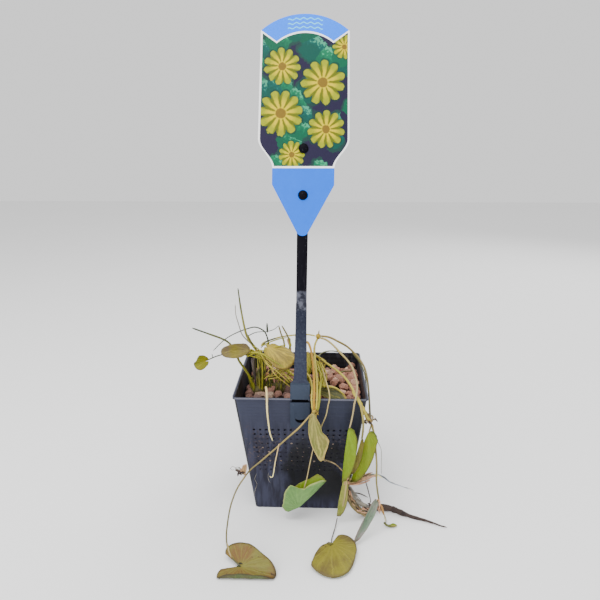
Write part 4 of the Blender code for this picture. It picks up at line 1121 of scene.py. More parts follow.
def bend_along(along, lift, length, bend):
    """Along the midrib: bend the folded blade towards or away from its facing side."""
    if abs(bend) < 0.01:
        return along, lift
    radius = length / bend
    turn = along / radius
    return (radius - lift) * math.sin(turn), radius - (radius - lift) * math.cos(turn)


def between(table, share):
    """The value that a table of (share, value) gives, straight between its entries."""
    for (low, first), (high, second) in zip(table, table[1:]):
        if share < high:
            return first + (second - first) * max(0.0, share - low) / (high - low)
    return table[-1][1]


def turned_up(spot, line, angle):
    """Fold what lies in front of a line on the ground up along it; all in mm."""
    beyond = line - spot.y
    if beyond <= 0.0:
        return spot
    arc = min(beyond / TURN_RADIUS, angle)
    rest = beyond - TURN_RADIUS * arc
    return Vector((spot.x, line - TURN_RADIUS * math.sin(arc) - rest * math.cos(arc),
                   spot.z + TURN_RADIUS * (1.0 - math.cos(arc)) + rest * math.sin(arc)))


def blade(skins, stalk, tip, facing, left, right, lobes, bend=0.0, ragged=0.0, wave=0.35,
          narrow=((), ()), turn_up=()):
    """A leaf from its facing and under skins, its midrib's ends in mm and each half's half width in
    mm, fold and curl in degrees. Lobes are shares of its length behind the stalk, narrow gives each
    half's share of its width along the midrib, and turn_up is a line and the angle past it."""
    bpy.ops.mesh.primitive_grid_add(x_subdivisions=2 * SPOKES, y_subdivisions=RINGS, size=2.0, calc_uvs=True)
    leaf = bpy.context.active_object
    stalk, tip, facing = Vector(stalk), Vector(tip), Vector(facing)
    bend = math.radians(bend)
    chord = tip - stalk
    length = chord.length * (bend / 2 / math.sin(bend / 2) if bend else 1.0)
    out = chord.normalized()
    up_way = (facing - facing.dot(out) * out).normalized()
    swing = Matrix.Rotation(bend / 2, 3, up_way.cross(out))
    out = swing @ out
    up_way = swing @ up_way
    side_way = up_way.cross(out)
    phase = (stalk.x + stalk.z) % 6.28
    for vert in leaf.data.vertices:
        angle = abs(vert.co.x) * SINUS
        ring = (vert.co.y + 1.0) / 2
        half = 0 if vert.co.x >= 0 else 1
        half_width, fold, curl = (left, right)[half]
        edge = blade_edge(angle, length, lobes[half] * length, half_width)
        edge += ragged * (noise.noise(Vector((vert.co.x * 13.0, phase, half))) * 1.6) * min(1.0, angle * 2.0)
        edge *= 1.0 + 0.012 * math.sin(17.0 * vert.co.x + phase)
        reach = edge * ring
        away = reach * math.sin(angle)
        if narrow[half]:
            away *= between(narrow[half], reach * math.cos(angle) / length)
        sideways, lift = fold_across(away, half_width, math.radians(fold), math.radians(curl))
        lift += wave * ring ** 3 * math.sin(7.0 * vert.co.x * math.pi + phase) * min(1.0, angle * 1.5)
        lift += 0.12 * ring * noise.noise(Vector((vert.co.x * 8.0, ring * 3.0, phase)))
        ahead, lift = bend_along(reach * math.cos(angle), lift, length, bend)
        sideways = math.copysign(sideways, vert.co.x)
        spot = stalk + ahead * out + sideways * side_way + lift * up_way
        if turn_up:
            spot = turned_up(spot, turn_up[0], math.radians(turn_up[1]))
        vert.co = spot * 0.001
    edit_whole()
    bpy.ops.mesh.remove_doubles(threshold=0.000002)
    bpy.ops.object.mode_set(mode="OBJECT")
    leaf.data.flip_normals()
    for skin in skins:
        leaf.data.materials.append(skin)
    body = leaf.modifiers.new("thickness", "SOLIDIFY")
    body.thickness = BLADE_THICK
    body.offset = -1.0
    body.material_offset = 1
    body.material_offset_rim = 1
    only(leaf)
    bpy.ops.object.modifier_apply(modifier="thickness")
    bpy.ops.object.shade_smooth()
    return leaf


def blade_finish(name, body, patch, vein, rim, patch_share=0.45, roughness=0.5, spots=0.0, veins=0.6):
    """One side of a leaf from screen colours: patches on its body, branching veins from the stalk, a
    rim that is a dried brown edge on most leaves and a painted highlight on some, and brown spots."""
    finish = Finish(name, roughness)
    body = tone(*body)
    turn, ring, _ = finish.parts(finish.node("UVMap", {"uv_map": "UVMap"}))
    patches = finish.grain(75.0, 4.0)
    fine = finish.grain(650.0, 3.0)
    wander = (finish.grain(190.0, 2.0) - 0.5) * 0.05
    few = abs((turn + wander) * 15.0 % 1.0 - 0.5) * ring
    many = abs((turn + wander) * 37.0 % 1.0 - 0.5) * ring
    ribs = few.under(0.015, 0.10) * 0.8 + many.under(0.02, 0.16) * ring.over(0.25, 0.3) * 0.45
    shade = finish.coats(
        finish.mix((patches - 1.0 + patch_share).over(-0.10, 0.22), body, tone(*patch)),
        (ribs * veins, tone(*vein)),
        (fine.over(0.48, 0.25) * 0.18, tuple(0.5 * value for value in body)),
        ((ring + (patches - 0.5) * 0.16).over(0.91, 0.08) * 0.8, tone(*rim)))
    if spots:
        shade = finish.mix((finish.grain(300.0, 3.0) - 1.0 + spots).over(0.0, 0.05), shade, tone(*SPOT_BROWN))
    finish.colour(shade)
    finish.rough(roughness - 0.1 + fine * 0.25)
    finish.bump(ribs * 0.8 + patches * 0.7 + fine * 0.35, 0.00045, 0.7)
    return finish.material


# Rim: a dried brown edge on most faces; lighter on the sage, shaded, tan and paper faces, a painted highlight.
olive_face = blade_finish("leaf_olive_face", (166, 160, 70), (144, 126, 64), (186, 180, 98),
                          (122, 96, 54), 0.48, 0.5, 0.30, 0.35)
russet_face = blade_finish("leaf_russet_face", (152, 146, 66), (154, 112, 58), (176, 172, 90),
                           (88, 64, 44), 0.50, 0.5, 0.33, 0.35)
russet_under = blade_finish("leaf_russet_under", (100, 120, 62), (112, 104, 60), (140, 146, 84),
                            (84, 56, 38), 0.48, 0.5, 0.33, 0.5)
straw_face = blade_finish("leaf_straw_face", (184, 170, 86), (170, 152, 78), (206, 190, 116),
                          (158, 130, 80), 0.50, 0.5, 0.30, 0.7)
faded_face = blade_finish("leaf_faded_face", (154, 142, 52), (136, 112, 88), (176, 164, 82),
                          (126, 108, 74), 0.54, 0.55, 0.28)
lime_face = blade_finish("leaf_lime_face", (144, 150, 14), (166, 156, 36), (188, 180, 64),
                         (120, 92, 40), 0.46)
lime_under = blade_finish("leaf_lime_under", (150, 130, 34), (176, 150, 70), (190, 168, 84),
                          (104, 76, 46), 0.46)
pale_face = blade_finish("leaf_pale_face", (186, 180, 106), (170, 172, 84), (208, 202, 134),
                         (178, 156, 90), 0.46)
shaded_face = blade_finish("leaf_shaded_face", (112, 116, 50), (92, 98, 48), (166, 158, 84),
                           (196, 180, 104), 0.50, 0.5, 0.30)
bright_face = blade_finish("leaf_bright_face", (144, 172, 36), (160, 178, 50), (166, 190, 80),
                           (150, 150, 62), 0.46, 0.5, 0.0, 0.5)
moss_face = blade_finish("leaf_moss_face", (148, 174, 44), (164, 170, 52), (176, 186, 90),
                         (126, 112, 52), 0.46, 0.5, 0.30, 0.5)
sage_face = blade_finish("leaf_sage_face", (124, 170, 98), (148, 182, 118), (162, 194, 130),
                         (186, 190, 140), 0.52, 0.45, 0.0, 0.45)
grey_face = blade_finish("leaf_grey_face", (146, 168, 148), (172, 170, 164), (178, 194, 170),
                         (156, 130, 112), 0.52, 0.5, 0.34, 0.4)
narrow_face = blade_finish("leaf_narrow_face", (150, 162, 64), (172, 172, 100), (186, 188, 118),
                           (150, 124, 82), 0.50, 0.5, 0.30, 0.6)
tan_face = blade_finish("leaf_tan_face", (166, 160, 94), (146, 150, 72), (204, 200, 152),
                        (206, 194, 150), 0.50, 0.55, 0.30, 0.4)
paper_face = blade_finish("leaf_paper_face", (172, 156, 112), (196, 172, 146), (218, 204, 180),
                          (204, 180, 166), 0.50, 0.6, 0.34, 0.4)
rust_face = blade_finish("leaf_rust_face", (200, 180, 160), (184, 154, 134), (220, 204, 186),
                         (166, 136, 112), 0.52, 0.6, 0.40, 0.5)

BLUNT = ((0, 1.55), (0.04, 1.5), (0.1, 1.3), (0.25, 1.06), (0.5, 1.0), (0.75, 1.0), (0.9, 1.05), (1, 1.15))
TAPERED = ((0, 1.1), (0.5, 1), (0.8, 0.88), (1, 0.8))
PINCHED = ((0, 0.4), (0.4, 0.5), (0.6, 1.1), (1, 1))
LEAVES = (
    ("leaf_far_left", "leaf_olive", lime_face, lime_under, dict(
        stalk=(-83.2, -13, 125.2), tip=(-93.8, -13.5, 122.3), facing=(0.1, -1, 0.3),
        left=(6.6, 20, 15), right=(7.4, 25, 15), lobes=(0.25, 0.3),
        narrow=(((-0.3, 0.8), (0, 0.9), (0.5, 1.1), (1, 1)),
                ((-0.3, 1), (0.3, 1), (0.55, 0.75), (0.7, 0.45), (1, 0.3))))),
    ("leaf_left", "leaf_yellow", faded_face, straw_face, dict(
        stalk=(-44.5, -21, 138.4), tip=(-68.2, -23, 137.5), facing=(0.0, -1, 0.35),
        left=(6.9, 14, 12), right=(6.4, 18, 12), lobes=(0.06, 0.06), bend=10, ragged=0.5,
        narrow=(((0, 0.6), (0.3, 0.9), (0.7, 0.9), (1, 1.0)), ((0, 1.5), (0.3, 1.1), (0.8, 1.0), (1, 1.2))))),
    ("leaf_middle", "leaf_yellow", straw_face, tan_face, dict(
        stalk=(-29.0, -15, 139.5), tip=(-4.5, -21, 131.0), facing=(0.1, -0.55, 0.83),
        left=(9.5, -12, -20), right=(13.5, -24, -18), lobes=(0.12, 0.12), bend=-20, ragged=0.8, wave=0.6,
        narrow=((), ((-0.2, 0.9), (0.3, 0.95), (0.7, 1.12), (0.9, 1.4), (1, 1.8))))),
    ("leaf_upright", "leaf_yellow", pale_face, pale_face, dict(
        stalk=(4.4, -12, 110), tip=(5.6, -12.5, 135), facing=(-0.35, -1, 0.1),
        left=(4.6, 24, 12), right=(4.4, 24, 12), lobes=(0.05, 0.05), bend=8)),
    ("leaf_pale", "leaf_yellow", pale_face, straw_face, dict(
        stalk=(16.2, -10, 107), tip=(16.8, -9, 125.0), facing=(0.5, -0.85, 0.1),
        left=(3.6, 35, 12), right=(3.6, 35, 12), lobes=(0.1, 0.1), bend=-10)),
    ("leaf_on_gravel", "leaf_olive", shaded_face, shaded_face, dict(
        stalk=(13.5, -32.5, 108.4), tip=(38, -43, 103.0), facing=(0.1, -0.5, 0.86),
        left=(6.4, 16, 10), right=(5.0, 6, 10), lobes=(0.1, 0.1), bend=-12)),
    ("leaf_ragged", "leaf_olive", tan_face, tan_face, dict(
        stalk=(10.8, -68.5, 103.0), tip=(17.2, -69.5, 63.4), facing=(0.15, 1, 0.1),
        left=(10, 10, 25), right=(10, 10, 25), lobes=(0.02, 0.02), bend=-12, ragged=0.8, wave=0.8,
        narrow=(((0, 0.5), (0.15, 0.69), (0.36, 0.73), (0.58, 0.74), (0.74, 0.69), (0.88, 0.51), (0.98, 0.4)),
                ((0.2, 0.4), (0.41, 0.39), (0.48, 0.62), (0.52, 0.77), (0.56, 0.64), (0.62, 0.95), (0.68, 0.97),
                 (0.75, 0.80), (0.78, 0.58), (0.85, 0.61), (0.94, 0.74))))),
    ("leaf_folded", "leaf_glaucous", bright_face, sage_face, dict(
        stalk=(-1.0, -60, 14.4), tip=(21.4, -61.5, 40.6), facing=(-0.75, 0.05, 0.66),
        left=(15, 62, 8), right=(17, 76, 8), lobes=(0.42, 0.40), bend=6, ragged=0.5,
        narrow=(((0, 0.95), (0.54, 0.95), (0.69, 0.9), (0.86, 1.05), (0.98, 1.6)),
                ((-0.4, 0.9), (-0.2, 0.98), (0, 1.08), (0.12, 1.18), (0.37, 1.24), (0.48, 0.54), (0.76, 0.6),
                 (0.92, 0.6), (1, 0.8))))),
    ("leaf_long_front", "leaf_green", moss_face, bright_face, dict(
        stalk=(38.6, -67.5, 90.0), tip=(34.6, -66, 43.0), facing=(1, 0.05, 0.1),
        left=(10.0, 70, 8), right=(9.0, 70, 6), lobes=(0.04, 0.04), bend=6, narrow=(TAPERED, TAPERED))),
    ("leaf_sliver", "leaf_olive", moss_face, olive_face, dict(
        stalk=(49.4, -61.2, 78), tip=(41.6, -60, 46), facing=(0.95, 0.1, -0.2),
        left=(4.6, 70, 6), right=(4.4, 68, 6), lobes=(0.04, 0.04))),
    ("leaf_long_back", "leaf_olive", bright_face, moss_face, dict(
        stalk=(55.2, -57, 82.0), tip=(42.0, -55.5, 35.6), facing=(0.95, 0.1, -0.28),
        left=(11.5, 66, 6), right=(11.0, 66, 6), lobes=(0.05, 0.05), bend=10, narrow=(BLUNT, BLUNT))),
    ("leaf_narrow", "leaf_olive", sage_face, narrow_face, dict(
        stalk=(36.2, -60, 42.0), tip=(31.2, -58.5, 5.6), facing=(1, 0, 0),
        left=(7.6, 52, 8), right=(7.2, 58, 8), lobes=(0.03, 0.03), bend=8)),
    ("leaf_blue_green", "leaf_glaucous", grey_face, grey_face, dict(
        stalk=(62.6, -64, 24.0), tip=(43.6, -88.6, 1.7), facing=(0.62, -0.3, 0.5),
        left=(4.4, 52, 8), right=(6.8, 34, 8), lobes=(0.03, 0.03), bend=6, ragged=0.7,
        narrow=(((0, 1.6), (0.1, 1.2), (0.4, 1), (0.8, 0.85), (1, 0.6)),
                ((0, 2.2), (0.12, 1.5), (0.3, 1.15), (0.5, 1), (1, 1.2))))),
    ("leaf_floor_left", "leaf_olive", russet_face, russet_under, dict(
        stalk=(-42.5, -117, 2.6), tip=(-15.0, -125.0, 1.8), facing=(0, 0, 1),
        left=(18, 26, 6), right=(15, -6, 0), lobes=(0.84, 0.74), turn_up=(-127.3, 95),
        narrow=(((-0.8, 1), (0, 1), (0.5, 0.8), (1, 0.65)),
                ((-0.5, 1.42), (-0.3, 1.27), (0, 1.08), (0.3, 0.94), (0.6, 0.84), (0.9, 0.8), (1, 0.9))))),
    ("leaf_floor_right", "leaf_olive", olive_face, moss_face, dict(
        stalk=(26.0, -92.0, 4.4), tip=(25.5, -126, 1.8), facing=(0.02, 0, 1),
        left=(19.0, 8, -20), right=(15.0, 6, -14), lobes=(0.45, 0.05), bend=-8,
        narrow=(((-0.45, 1.34), (-0.2, 1.22), (0, 1.1), (0.3, 0.98), (0.6, 0.94), (1, 0.96)),
                ((-0.2, 0.6), (0.1, 0.8), (0.5, 0.95), (0.68, 1.12), (0.8, 1.08), (1, 1.0))))),
    ("leaf_tiny", "leaf_yellow", moss_face, tan_face, dict(
        stalk=(71.8, -64.2, 1.9), tip=(81, -63.8, 1.6), facing=(0, 0, 1),
        left=(2.0, 25, 10), right=(1.8, 25, 10), lobes=(0.1, 0.1), wave=0.1, narrow=(PINCHED, PINCHED))),
)
for name, slot, facing_skin, under_skin, shape in LEAVES:
    leaf = blade((facing_skin, under_skin), **shape)
    fit(leaf, name + "_blade", slot, name)


# Withered strap: a dead leaf stalk, dark brown, flattened and twisted, that lies on the surface.
STRAP_CREASE = 0.0006
STRAP_LOWEST = 0.0001
strap = grow([
    (6.2, 4.8, ((53.4, -46, 3.4), (62, -42.5, 3.0), (72, -41, 2.9), (80, -42.8, 2.7), (84, -45.2, 2.4))),
    (5.0, 0.7, ((77, -41.8, 2.8), (80, -42.8, 2.7), (86.5, -47, 2.2), (93.4, -50.6, 1.7), (105, -55.4, 1.3),
                (112, -58.8, 1.1), (122, -64, 0.9)))], 0.4, 4)
for vert in strap.data.vertices:
    vert.co.z += STRAP_CREASE * noise.noise(Vector((vert.co.x * 90.0, vert.co.y * 700.0, vert.co.z * 500.0)))
    vert.co.z = max(STRAP_LOWEST, vert.co.z)
strap.data.materials.append(root_dark)
fit(strap, "dry_strap_withered", "root_brown", "dry_strap")


# Fine roots and scraps: thin leaf stalks, hair roots, a dried tuft on the long runner, frayed root
# ends and the tangle by the right-hand corner, all too thin to be solids of their own.
def stray(start, end, sag, count, spread, thick):
    """Several fine strands from about one place to about another, each on its own way."""
    strands = []
    for _ in range(count):
        shift = [Vector([chance.uniform(-spread, spread) for _ in range(3)]) for _ in range(4)]
        first = Vector(start) + shift[0]
        last = Vector(end) + shift[1]
        one = first.lerp(last, 0.33) + shift[2] + Vector((0.0, 0.0, -sag))
        two = first.lerp(last, 0.66) + shift[3] + Vector((0.0, 0.0, -sag * 0.8))
        strands.append((thick * chance.uniform(0.6, 1.2), thick * 0.4, (first, one, two, last)))
    return strands


dried_cup = blade((paper_face, paper_face), stalk=(-43.6, -72.0, 51.8), tip=(-41.9, -72.6, 61.2),
                  facing=(-0.6, -0.8, 0.2), left=(4.0, 40, 25), right=(3.8, 34, 25), lobes=(0.05, 0.05),
                  ragged=1.2)
fit(dried_cup, "dried_tuft_cup", "root_pale")
rust_sheath = blade((rust_face, rust_face), stalk=(38.6, -53.8, 33.0), tip=(62.5, -52.4, 41.0),
                    facing=(-0.25, -0.9, 0.4), left=(2.4, 24, 20), right=(2.0, 30, 20), lobes=(0.03, 0.03),
                    ragged=1.6, bend=-16)
fit(rust_sheath, "rust_sheath_papery", "root_brown")

SCRAPS = (
    ("hair_arch", stem_dark, "stem_green", [
        (1.2, 0.9, ((-36.7, 4, 131.9), (-34, 4, 135.7), (-31.2, 4, 138.5), (-27.7, 4, 139.9), (-23.2, 4, 141.4))),
        (1.2, 1.9, ((-31, 4, 155.2), (-30.9, 4, 151), (-30.7, 4, 146.4))),
        (1.0, 0.6, ((-77.5, -13, 131.9), (-77.2, -13, 128.2))),
        (0.8, 0.6, ((-48.7, 2, 143.2), (-41.6, 2.5, 146.7), (-35.4, 3, 147.5), (-31.2, 4.5, 147.2),
                    (-25.2, 6, 148.6), (-22.4, 7, 150.7), (-20.5, 9, 151.7)))]),
    ("bud_middle", stem_fresh, "stem_green", [
        (1.4, 2.6, ((-11.6, 1.6, 132), (-10.2, 1.6, 135.7), (-10.5, 1.4, 138.6))),
        (2.4, 0.6, ((-10.5, 1.4, 138.4), (-10.7, 1.6, 141.4), (-11.6, 1.6, 143)))]),
    ("stub_bundle", stem_yellow, "stem_yellow", [
        (1.5, 1.0, ((10.4, -2.6, 126), (11.0, 0, 130.1), (11.8, 0.6, 135.3)))]),
    ("tuft_plum_stalks", stem_plum, "stem_green", [
        (1.7, 2.3, ((-39, -6, 96.8), (-42.4, -5, 112.5), (-44, -4, 125.3))),
        (1.6, 1.2, ((-33.7, -5, 96.4), (-32.7, -4, 109.4), (-31.6, -4, 122.6), (-32.6, -5, 130.0)))]),
    ("tuft_olive_stalks", stem_mud, "stem_green", [
        (1.8, 1.4, ((-37.9, -8, 97.7), (-40.4, -7, 113.3), (-41.1, -6, 127.9))),
        (1.5, 1.1, ((-35.9, -10, 96.6), (-37.3, -11, 112.2), (-37.1, -10, 129.5))),
        (1.8, 1.3, ((-48.2, -8, 149.7), (-44.9, -8, 143.3), (-41.5, -8, 137)))]),
    ("tuft_green_stalks", stem_fresh, "stem_green", [
        (1.6, 1.3, ((-34.8, -12, 97.5), (-34, -13, 113), (-34.3, -12, 129.3))),
        (1.2, 0.8, ((-23.7, -6, 106.5), (-26.1, -8, 117.7), (-27.7, -8, 127))),
        (1.2, 0.8, ((-21.9, -7, 106), (-21.6, -9, 116.3), (-23.2, -10, 125.9))),
        (1.1, 0.8, ((-19.2, -7, 105.1), (-19.9, -9, 114.4), (-18.9, -10, 124.1)))]),
    ("tuft_tangle", stem_fresh, "stem_yellow",
     stray((-47, -15, 133), (-27, -16, 131), -2.0, 6, 2.6, 1.5)
     + stray((-41, -12, 136), (-33, -14, 126), -1.0, 5, 2.2, 1.4)),
    ("yellow_stalks", stem_fresh, "stem_yellow", [
        (1.3, 1.1, ((-43.6, -20, 136.7), (-33.4, -20, 135), (-24.8, -22, 130.4), (-13.7, -24, 124.1),
                    (-5.2, -26, 117.8))),
        (1.1, 1.0, ((-46.6, -18, 131.4), (-38.7, -18, 135.6), (-30.4, -16, 137.2), (-22.8, -14, 139.3),
                    (-13.4, -12, 140.5))),
        (1.1, 0.9, ((-34.3, -10, 138.7), (-27.5, -8, 141.7), (-19.8, -6, 143.9), (-13, -4, 144.6)))]),
    ("straw_stalks", stem_yellow, "stem_yellow", [
        (1.2, 1.0, ((-28.9, -14, 130.1), (-18.6, -14, 122.9), (-10, -14, 118.4), (-3.9, -14, 116.6))),
        (1.3, 1.0, ((-16.3, -10, 114.9), (-10.2, -10, 123.3), (-5, -8, 129.1), (-1.6, -6, 132.1)))]
     + stray((-37, -13, 131), (-7, -25, 111), -1.5, 7, 3.4, 1.3)
     + stray((-30, -12, 112), (-9, -12, 121), -1.0, 5, 3.6, 1.2)),
    ("bundle_stalks", stem_fresh, "stem_yellow",
     stray((11.5, -10, 128), (17.5, -45, 115.5), -2.0, 6, 2.4, 1.3)
     + stray((5, -14, 104), (8, -20, 126), 0.0, 4, 2.4, 1.3)),
    ("right_stalks", stem_green, "stem_green", [
        (1.4, 1.2, ((9.8, -4, 130.6), (14.2, 8, 123.4), (17.8, 20, 122), (25.5, 34, 119), (37.4, 46, 113.8))),
        (1.3, 1.1, ((33, 0, 110.5), (38.3, 0, 112.5), (44.6, 2, 111.8), (45.4, 2, 116.5))),
        (1.4, 1.2, ((46, 30, 119.6), (52.7, 16, 114.1), (56.5, 4, 107.3), (56.8, -12, 99.8), (55.8, -30, 98.5)))]),
    ("right_young_stalks", stem_yellow, "stem_green", [
        (1.6, 1.2, ((9.2, -14, 101.9), (5.6, -12, 113.1), (4.6, -10, 124.4), (5.5, -10, 133.6))),
        (1.6, 1.2, ((19.6, -16, 104.7), (17.8, -14, 111.3), (16.8, -12, 119.8), (15, -10, 128.2))),
        (1.4, 1.1, ((15.2, -10, 105.9), (17.8, -8, 114.5), (21.2, -6, 123.1))),
        (2.2, 1.3, ((14, -34, 113.4), (23, -36, 112.9), (29.9, -37, 111.6), (37, -39, 105.9))),
        (1.2, 1.0, ((10.7, -8, 131.1), (15, -8, 128.4), (21.2, -8, 124.8)))]),
    ("withered_bit", root_rust, "stem_yellow", [
        (2.0, 0.9, ((-13.5, 6, 139.9), (-11.7, 4, 135.9), (-9.8, 2, 131.9), (-9.7, 0, 129.8)))]),
    ("dried_specks", root_dark, "root_brown", [
        (2.4, 1.9, ((-44.6, -72, 53.0), (-47.6, -72, 54.6), (-51.2, -71.6, 55.4))),
        (2.0, 1.0, ((-48.3, -72, 54.2), (-49.0, -71.8, 52.2), (-49.3, -71.6, 49.8))),
        (2.0, 1.4, ((-46.9, -72.2, 54.0), (-47.4, -72, 52.4), (-46.0, -72, 51.2))),
        (1.6, 0.9, ((-45.8, -72.6, 54.6), (-44.4, -72.8, 54.0), (-43.2, -72.6, 53.6)))]),
    ("dried_threads", root_grey, "root_pale", [
        (0.5, 0.4, ((-49, -72, 55.5), (-51.5, -72, 58.2), (-53.6, -72, 58.8), (-55, -72, 57.0), (-53.6, -72, 55.4),
                    (-52, -72, 56.0)))]
     + stray((-45, -72, 55), (-50.5, -71.6, 55.5), -1.0, 5, 1.2, 0.6)),
    ("rust_mass", root_rust, "root_brown", [
        (2.6, 1.6, ((39.2, -53, 34.3), (45.8, -53, 34.5), (51.6, -53, 36.3), (55.6, -53, 38.8), (59.7, -53, 40.4),
                    (63.9, -53, 40.8))),
        (1.6, 1.2, ((39.2, -54, 33.4), (46.7, -54, 33.2), (53.3, -54, 35.0), (58.2, -54, 37.6))),
        (1.6, 0.8, ((44.5, -52, 36), (50.5, -51.6, 38.8), (56.5, -51, 41.6), (60.5, -51, 42.6)))]
     + stray((42, -53.6, 34.5), (61, -51.6, 40.5), 0.6, 7, 1.3, 0.7)),
    ("frayed_roots", root_pale, "root_pale",
     stray((43, -54, 36), (61, -51.6, 40.5), 0.4, 5, 1.6, 0.7)
     + [(0.6, 0.5, ((40.8, -54, 32.5), (42.0, -54.4, 27.5), (44.4, -54, 22.2))),
        (1.4, 0.8, ((62, -51, 41), (66, -50.4, 39.4), (68.8, -50, 36.6)))]),
    ("inner_loop", root_grey, "root_pale", [
        (2.8, 3.0, ((41.7, -55, 31.3), (43.5, -55, 24.7), (46.9, -55, 19.1), (52, -55, 15.4), (58, -55, 12.6)))]
     + stray((42.5, -55.6, 29), (55, -55.6, 13.5), 2.0, 7, 1.6, 0.8)),
    ("outer_loop", root_moss, "root_brown", [
        (2.0, 2.0, ((38.2, -57, 33.4), (39.2, -57, 25.9), (41.8, -57, 19.4), (46.1, -57, 12.8), (51.3, -57, 8.1),
                    (56.4, -57, 4.4)))]
     + stray((39.6, -57.4, 28), (53, -57.4, 7.5), 2.4, 4, 1.2, 0.8)),
    ("lower_mass", root_moss, "root_brown",
     stray((41, -55, 26), (51, -55, 10), 2.0, 7, 1.8, 1.3)
     + stray((46, -56, 13), (58, -56, 7), 1.0, 6, 1.6, 1.5)),
    ("lower_rust", root_rust, "root_brown",
     stray((40.5, -56, 30), (47, -56, 15), 1.0, 4, 1.4, 1.3)
     + stray((47, -56.5, 12), (57, -56.5, 10), 1.0, 4, 1.6, 1.4)),
    ("narrow_top", root_rust, "root_brown", [
        (1.8, 1.0, ((40.6, -59, 43.5), (38.2, -60.6, 41.2), (36.4, -61, 37.0))),
        (1.4, 0.8, ((42.4, -57, 40.5), (40.2, -58.6, 38.4), (38.8, -59.4, 34.0)))]),
    ("narrow_stalk", stem_pale, "stem_yellow", [
        (2.0, 1.2, ((38.6, -61.5, 41), (37.8, -62.2, 33), (37.0, -62, 25), (35.6, -61.4, 17)))]),
    ("dark_knots", root_dark, "root_brown", [
        (1.6, 1.2, ((56.5, -58, 18.2), (58.2, -58, 17.6), (59.6, -57.6, 15.8))),
        (1.5, 1.0, ((53.4, -58, 14.6), (55, -58, 13.4), (56.8, -58, 12.0))),
        (1.3, 0.8, ((46.2, -57.6, 14.6), (48.6, -57.8, 12.4), (50.4, -57.8, 9.8)))]),
    ("tangled_roots", root_grey, "root_pale",
     stray((45, -54, 26), (52, -53.6, 11), 1.4, 4, 2.6, 0.7)
     + stray((46, -53, 16), (58, -51.4, 5), 1.0, 4, 2.2, 0.7)),
    ("joint_rags", root_moss, "root_pale",
     stray((54.4, -56, 99), (53.4, -56.4, 91.4), 0.0, 4, 1.2, 1.8)
     + stray((56.4, -56, 97), (57.4, -56.4, 91), 0.0, 3, 1.0, 1.6)),
    ("joint_specks", root_dark, "root_brown", [
        (1.6, 2.0, ((52.2, -56.6, 93.4), (52.0, -56.8, 91.6), (53.6, -56.8, 90.0))),
        (2.0, 1.6, ((55.4, -57, 93.2), (56.0, -57.2, 91.2), (57.4, -57, 90.2))),
        (1.6, 1.2, ((60.0, -55.4, 94.6), (61.2, -55.4, 93.0), (62.4, -55.2, 91.4)))]),
    ("leaf_notch_curl", stem_mud, "root_brown", [
        (1.4, 2.6, ((22.0, -90.2, 3.2), (23.4, -92.0, 5.0), (25.4, -94.0, 5.0))),
        (2.0, 2.6, ((22.4, -92.4, 3.8), (24.6, -93.0, 5.2), (27.0, -92.4, 4.8)))]),
    ("leaf_stalk_scar", stem_dark, "stem_green", [
        (1.7, 1.3, ((-43.6, -114.6, 3.5), (-42.4, -115.2, 3.7), (-41.0, -115.6, 3.5))),
        (1.0, 1.5, ((-45.2, -117.0, 2.5), (-43.6, -117.0, 2.9), (-42.2, -117.2, 2.9)))]),
    ("leaf_stalk_strip", stem_pale, "stem_yellow", [
        (1.0, 1.3, ((-55.4, -97.4, 7.1), (-54.1, -101.4, 8.6), (-52.7, -105.6, 6.9), (-50.4, -110.0, 5.0)))]),
    ("short_leaf_stalks", stem_olive, "stem_green", [
        (1.5, 1.2, ((12.0, -63.4, 101.0), (11.4, -65.6, 103.6), (10.9, -68.4, 102.4))),
        (1.5, 1.2, ((57.4, -54.2, 87.6), (56.6, -55.8, 85.0), (55.4, -57.0, 81.8))),
        (1.3, 1.1, ((65.2, -61.2, 22.8), (64.2, -62.8, 24.2), (62.6, -64.2, 23.6)))]),
    ("leaf_fold_join", stem_mud, "stem_green", [
        (1.8, 1.8, ((40.2, -60.5, 46.8), (41.0, -58.5, 38.2)))]),
    ("dark_roots", root_dark, "root_brown", [
        (1.2, 0.7, ((45.2, -54, 25.5), (51, -54, 24.2), (57, -54, 21))),
        (1.1, 0.7, ((54.4, -54, 36.5), (56.8, -54, 28.1), (59.2, -54, 17.7), (57.7, -53, 13.3)))]),
    ("wall_thread", root_moss, "root_brown", [
        (1.2, 0.9, ((17.6, -69.0, 64.5), (22.8, -67.6, 62.5), (29.2, -66.6, 58.9), (35.0, -66.0, 52.3)))]),
    ("wall_roots", root_grey, "root_pale", [
        (0.35, 0.25, ((-36.9, -48.4, 38.2), (-38.7, -47.6, 32.5), (-36.9, -46.8, 27.4), (-38.6, -45.8, 21.3),
                      (-40.2, -44.8, 14.1))),
        (0.35, 0.25, ((-26.8, -48.6, 39.4), (-27.3, -47.7, 33.6), (-25.7, -47.0, 28.6)))]),
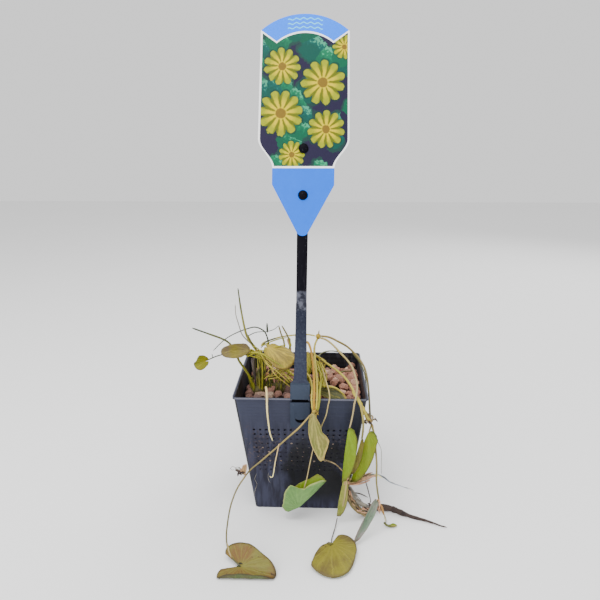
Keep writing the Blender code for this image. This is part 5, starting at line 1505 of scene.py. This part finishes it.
    ("right_thread", root_grey, "root_pale", [
        (0.6, 0.4, ((62.4, -54, 74), (66.0, -54, 67), (66.8, -54, 60.8), (67.1, -54, 51.7),
                    (67.6, -52, 44.6), (67.9, -50.0, 40.9))),
        (0.5, 0.4, ((70.3, -62, 10.2), (71.7, -62, 6.4), (72.6, -62, 2.6))),
        (0.6, 0.3, ((76, -48, 32.5), (84, -47, 28.2), (91, -46.4, 25.8), (97, -46, 23.4)))]),
    ("tiny_leaf_hook", stem_green, "stem_yellow", [
        (1.9, 1.4, ((71.4, -61.2, 2.6), (70.6, -62.7, 3.0), (71.9, -64.4, 2.4), (75.6, -65.2, 1.6),
                    (80.4, -64.2, 1.4)))]),
    ("orange_bit", stem_tan, "root_brown", [
        (2.2, 1.5, ((67.1, -62, 19.5), (68.5, -62, 14.8), (69.9, -62, 10.1)))]),
    ("brown_sheath", root_rust, "stem_yellow",
     stray((64.6, -62, 25), (66.4, -62.6, 12), 0.0, 7, 1.0, 1.1)),
    ("rim_swelling", stem_yellow, "stem_yellow", [
        (2.2, 3.6, ((42.2, -49, 114.2), (43.9, -53.6, 113.6), (46.4, -57.8, 111.2), (49.2, -60, 106.2))),
        (3.6, 2.6, ((48.6, -59.8, 107.2), (51.0, -59.8, 102.4), (53.8, -58.2, 96.6)))]),
    ("bundle_fill", stem_yellow, "stem_yellow",
     stray((10.5, -14, 128), (15.5, -47, 117.5), -3.0, 4, 1.6, 1.7)
     + stray((16, -10, 124), (21, -34, 112), -2.0, 5, 2.0, 1.5)),
    ("tuft_fill", stem_rising, "stem_green",
     stray((-38.5, -10, 97.5), (-38, -10, 129), 0.0, 4, 1.8, 1.9)
     + stray((-33.5, -9, 97), (-31, -11, 127), 0.0, 3, 1.8, 1.6)
     + stray((-30, -8, 97), (-24, -10, 118), 0.0, 4, 2.6, 1.3)),
)
for name, skin, slot, strands in SCRAPS:
    scrap = grow(strands, 0.3, 1)
    scrap.data.materials.append(skin)
    fit(scrap, name, slot)
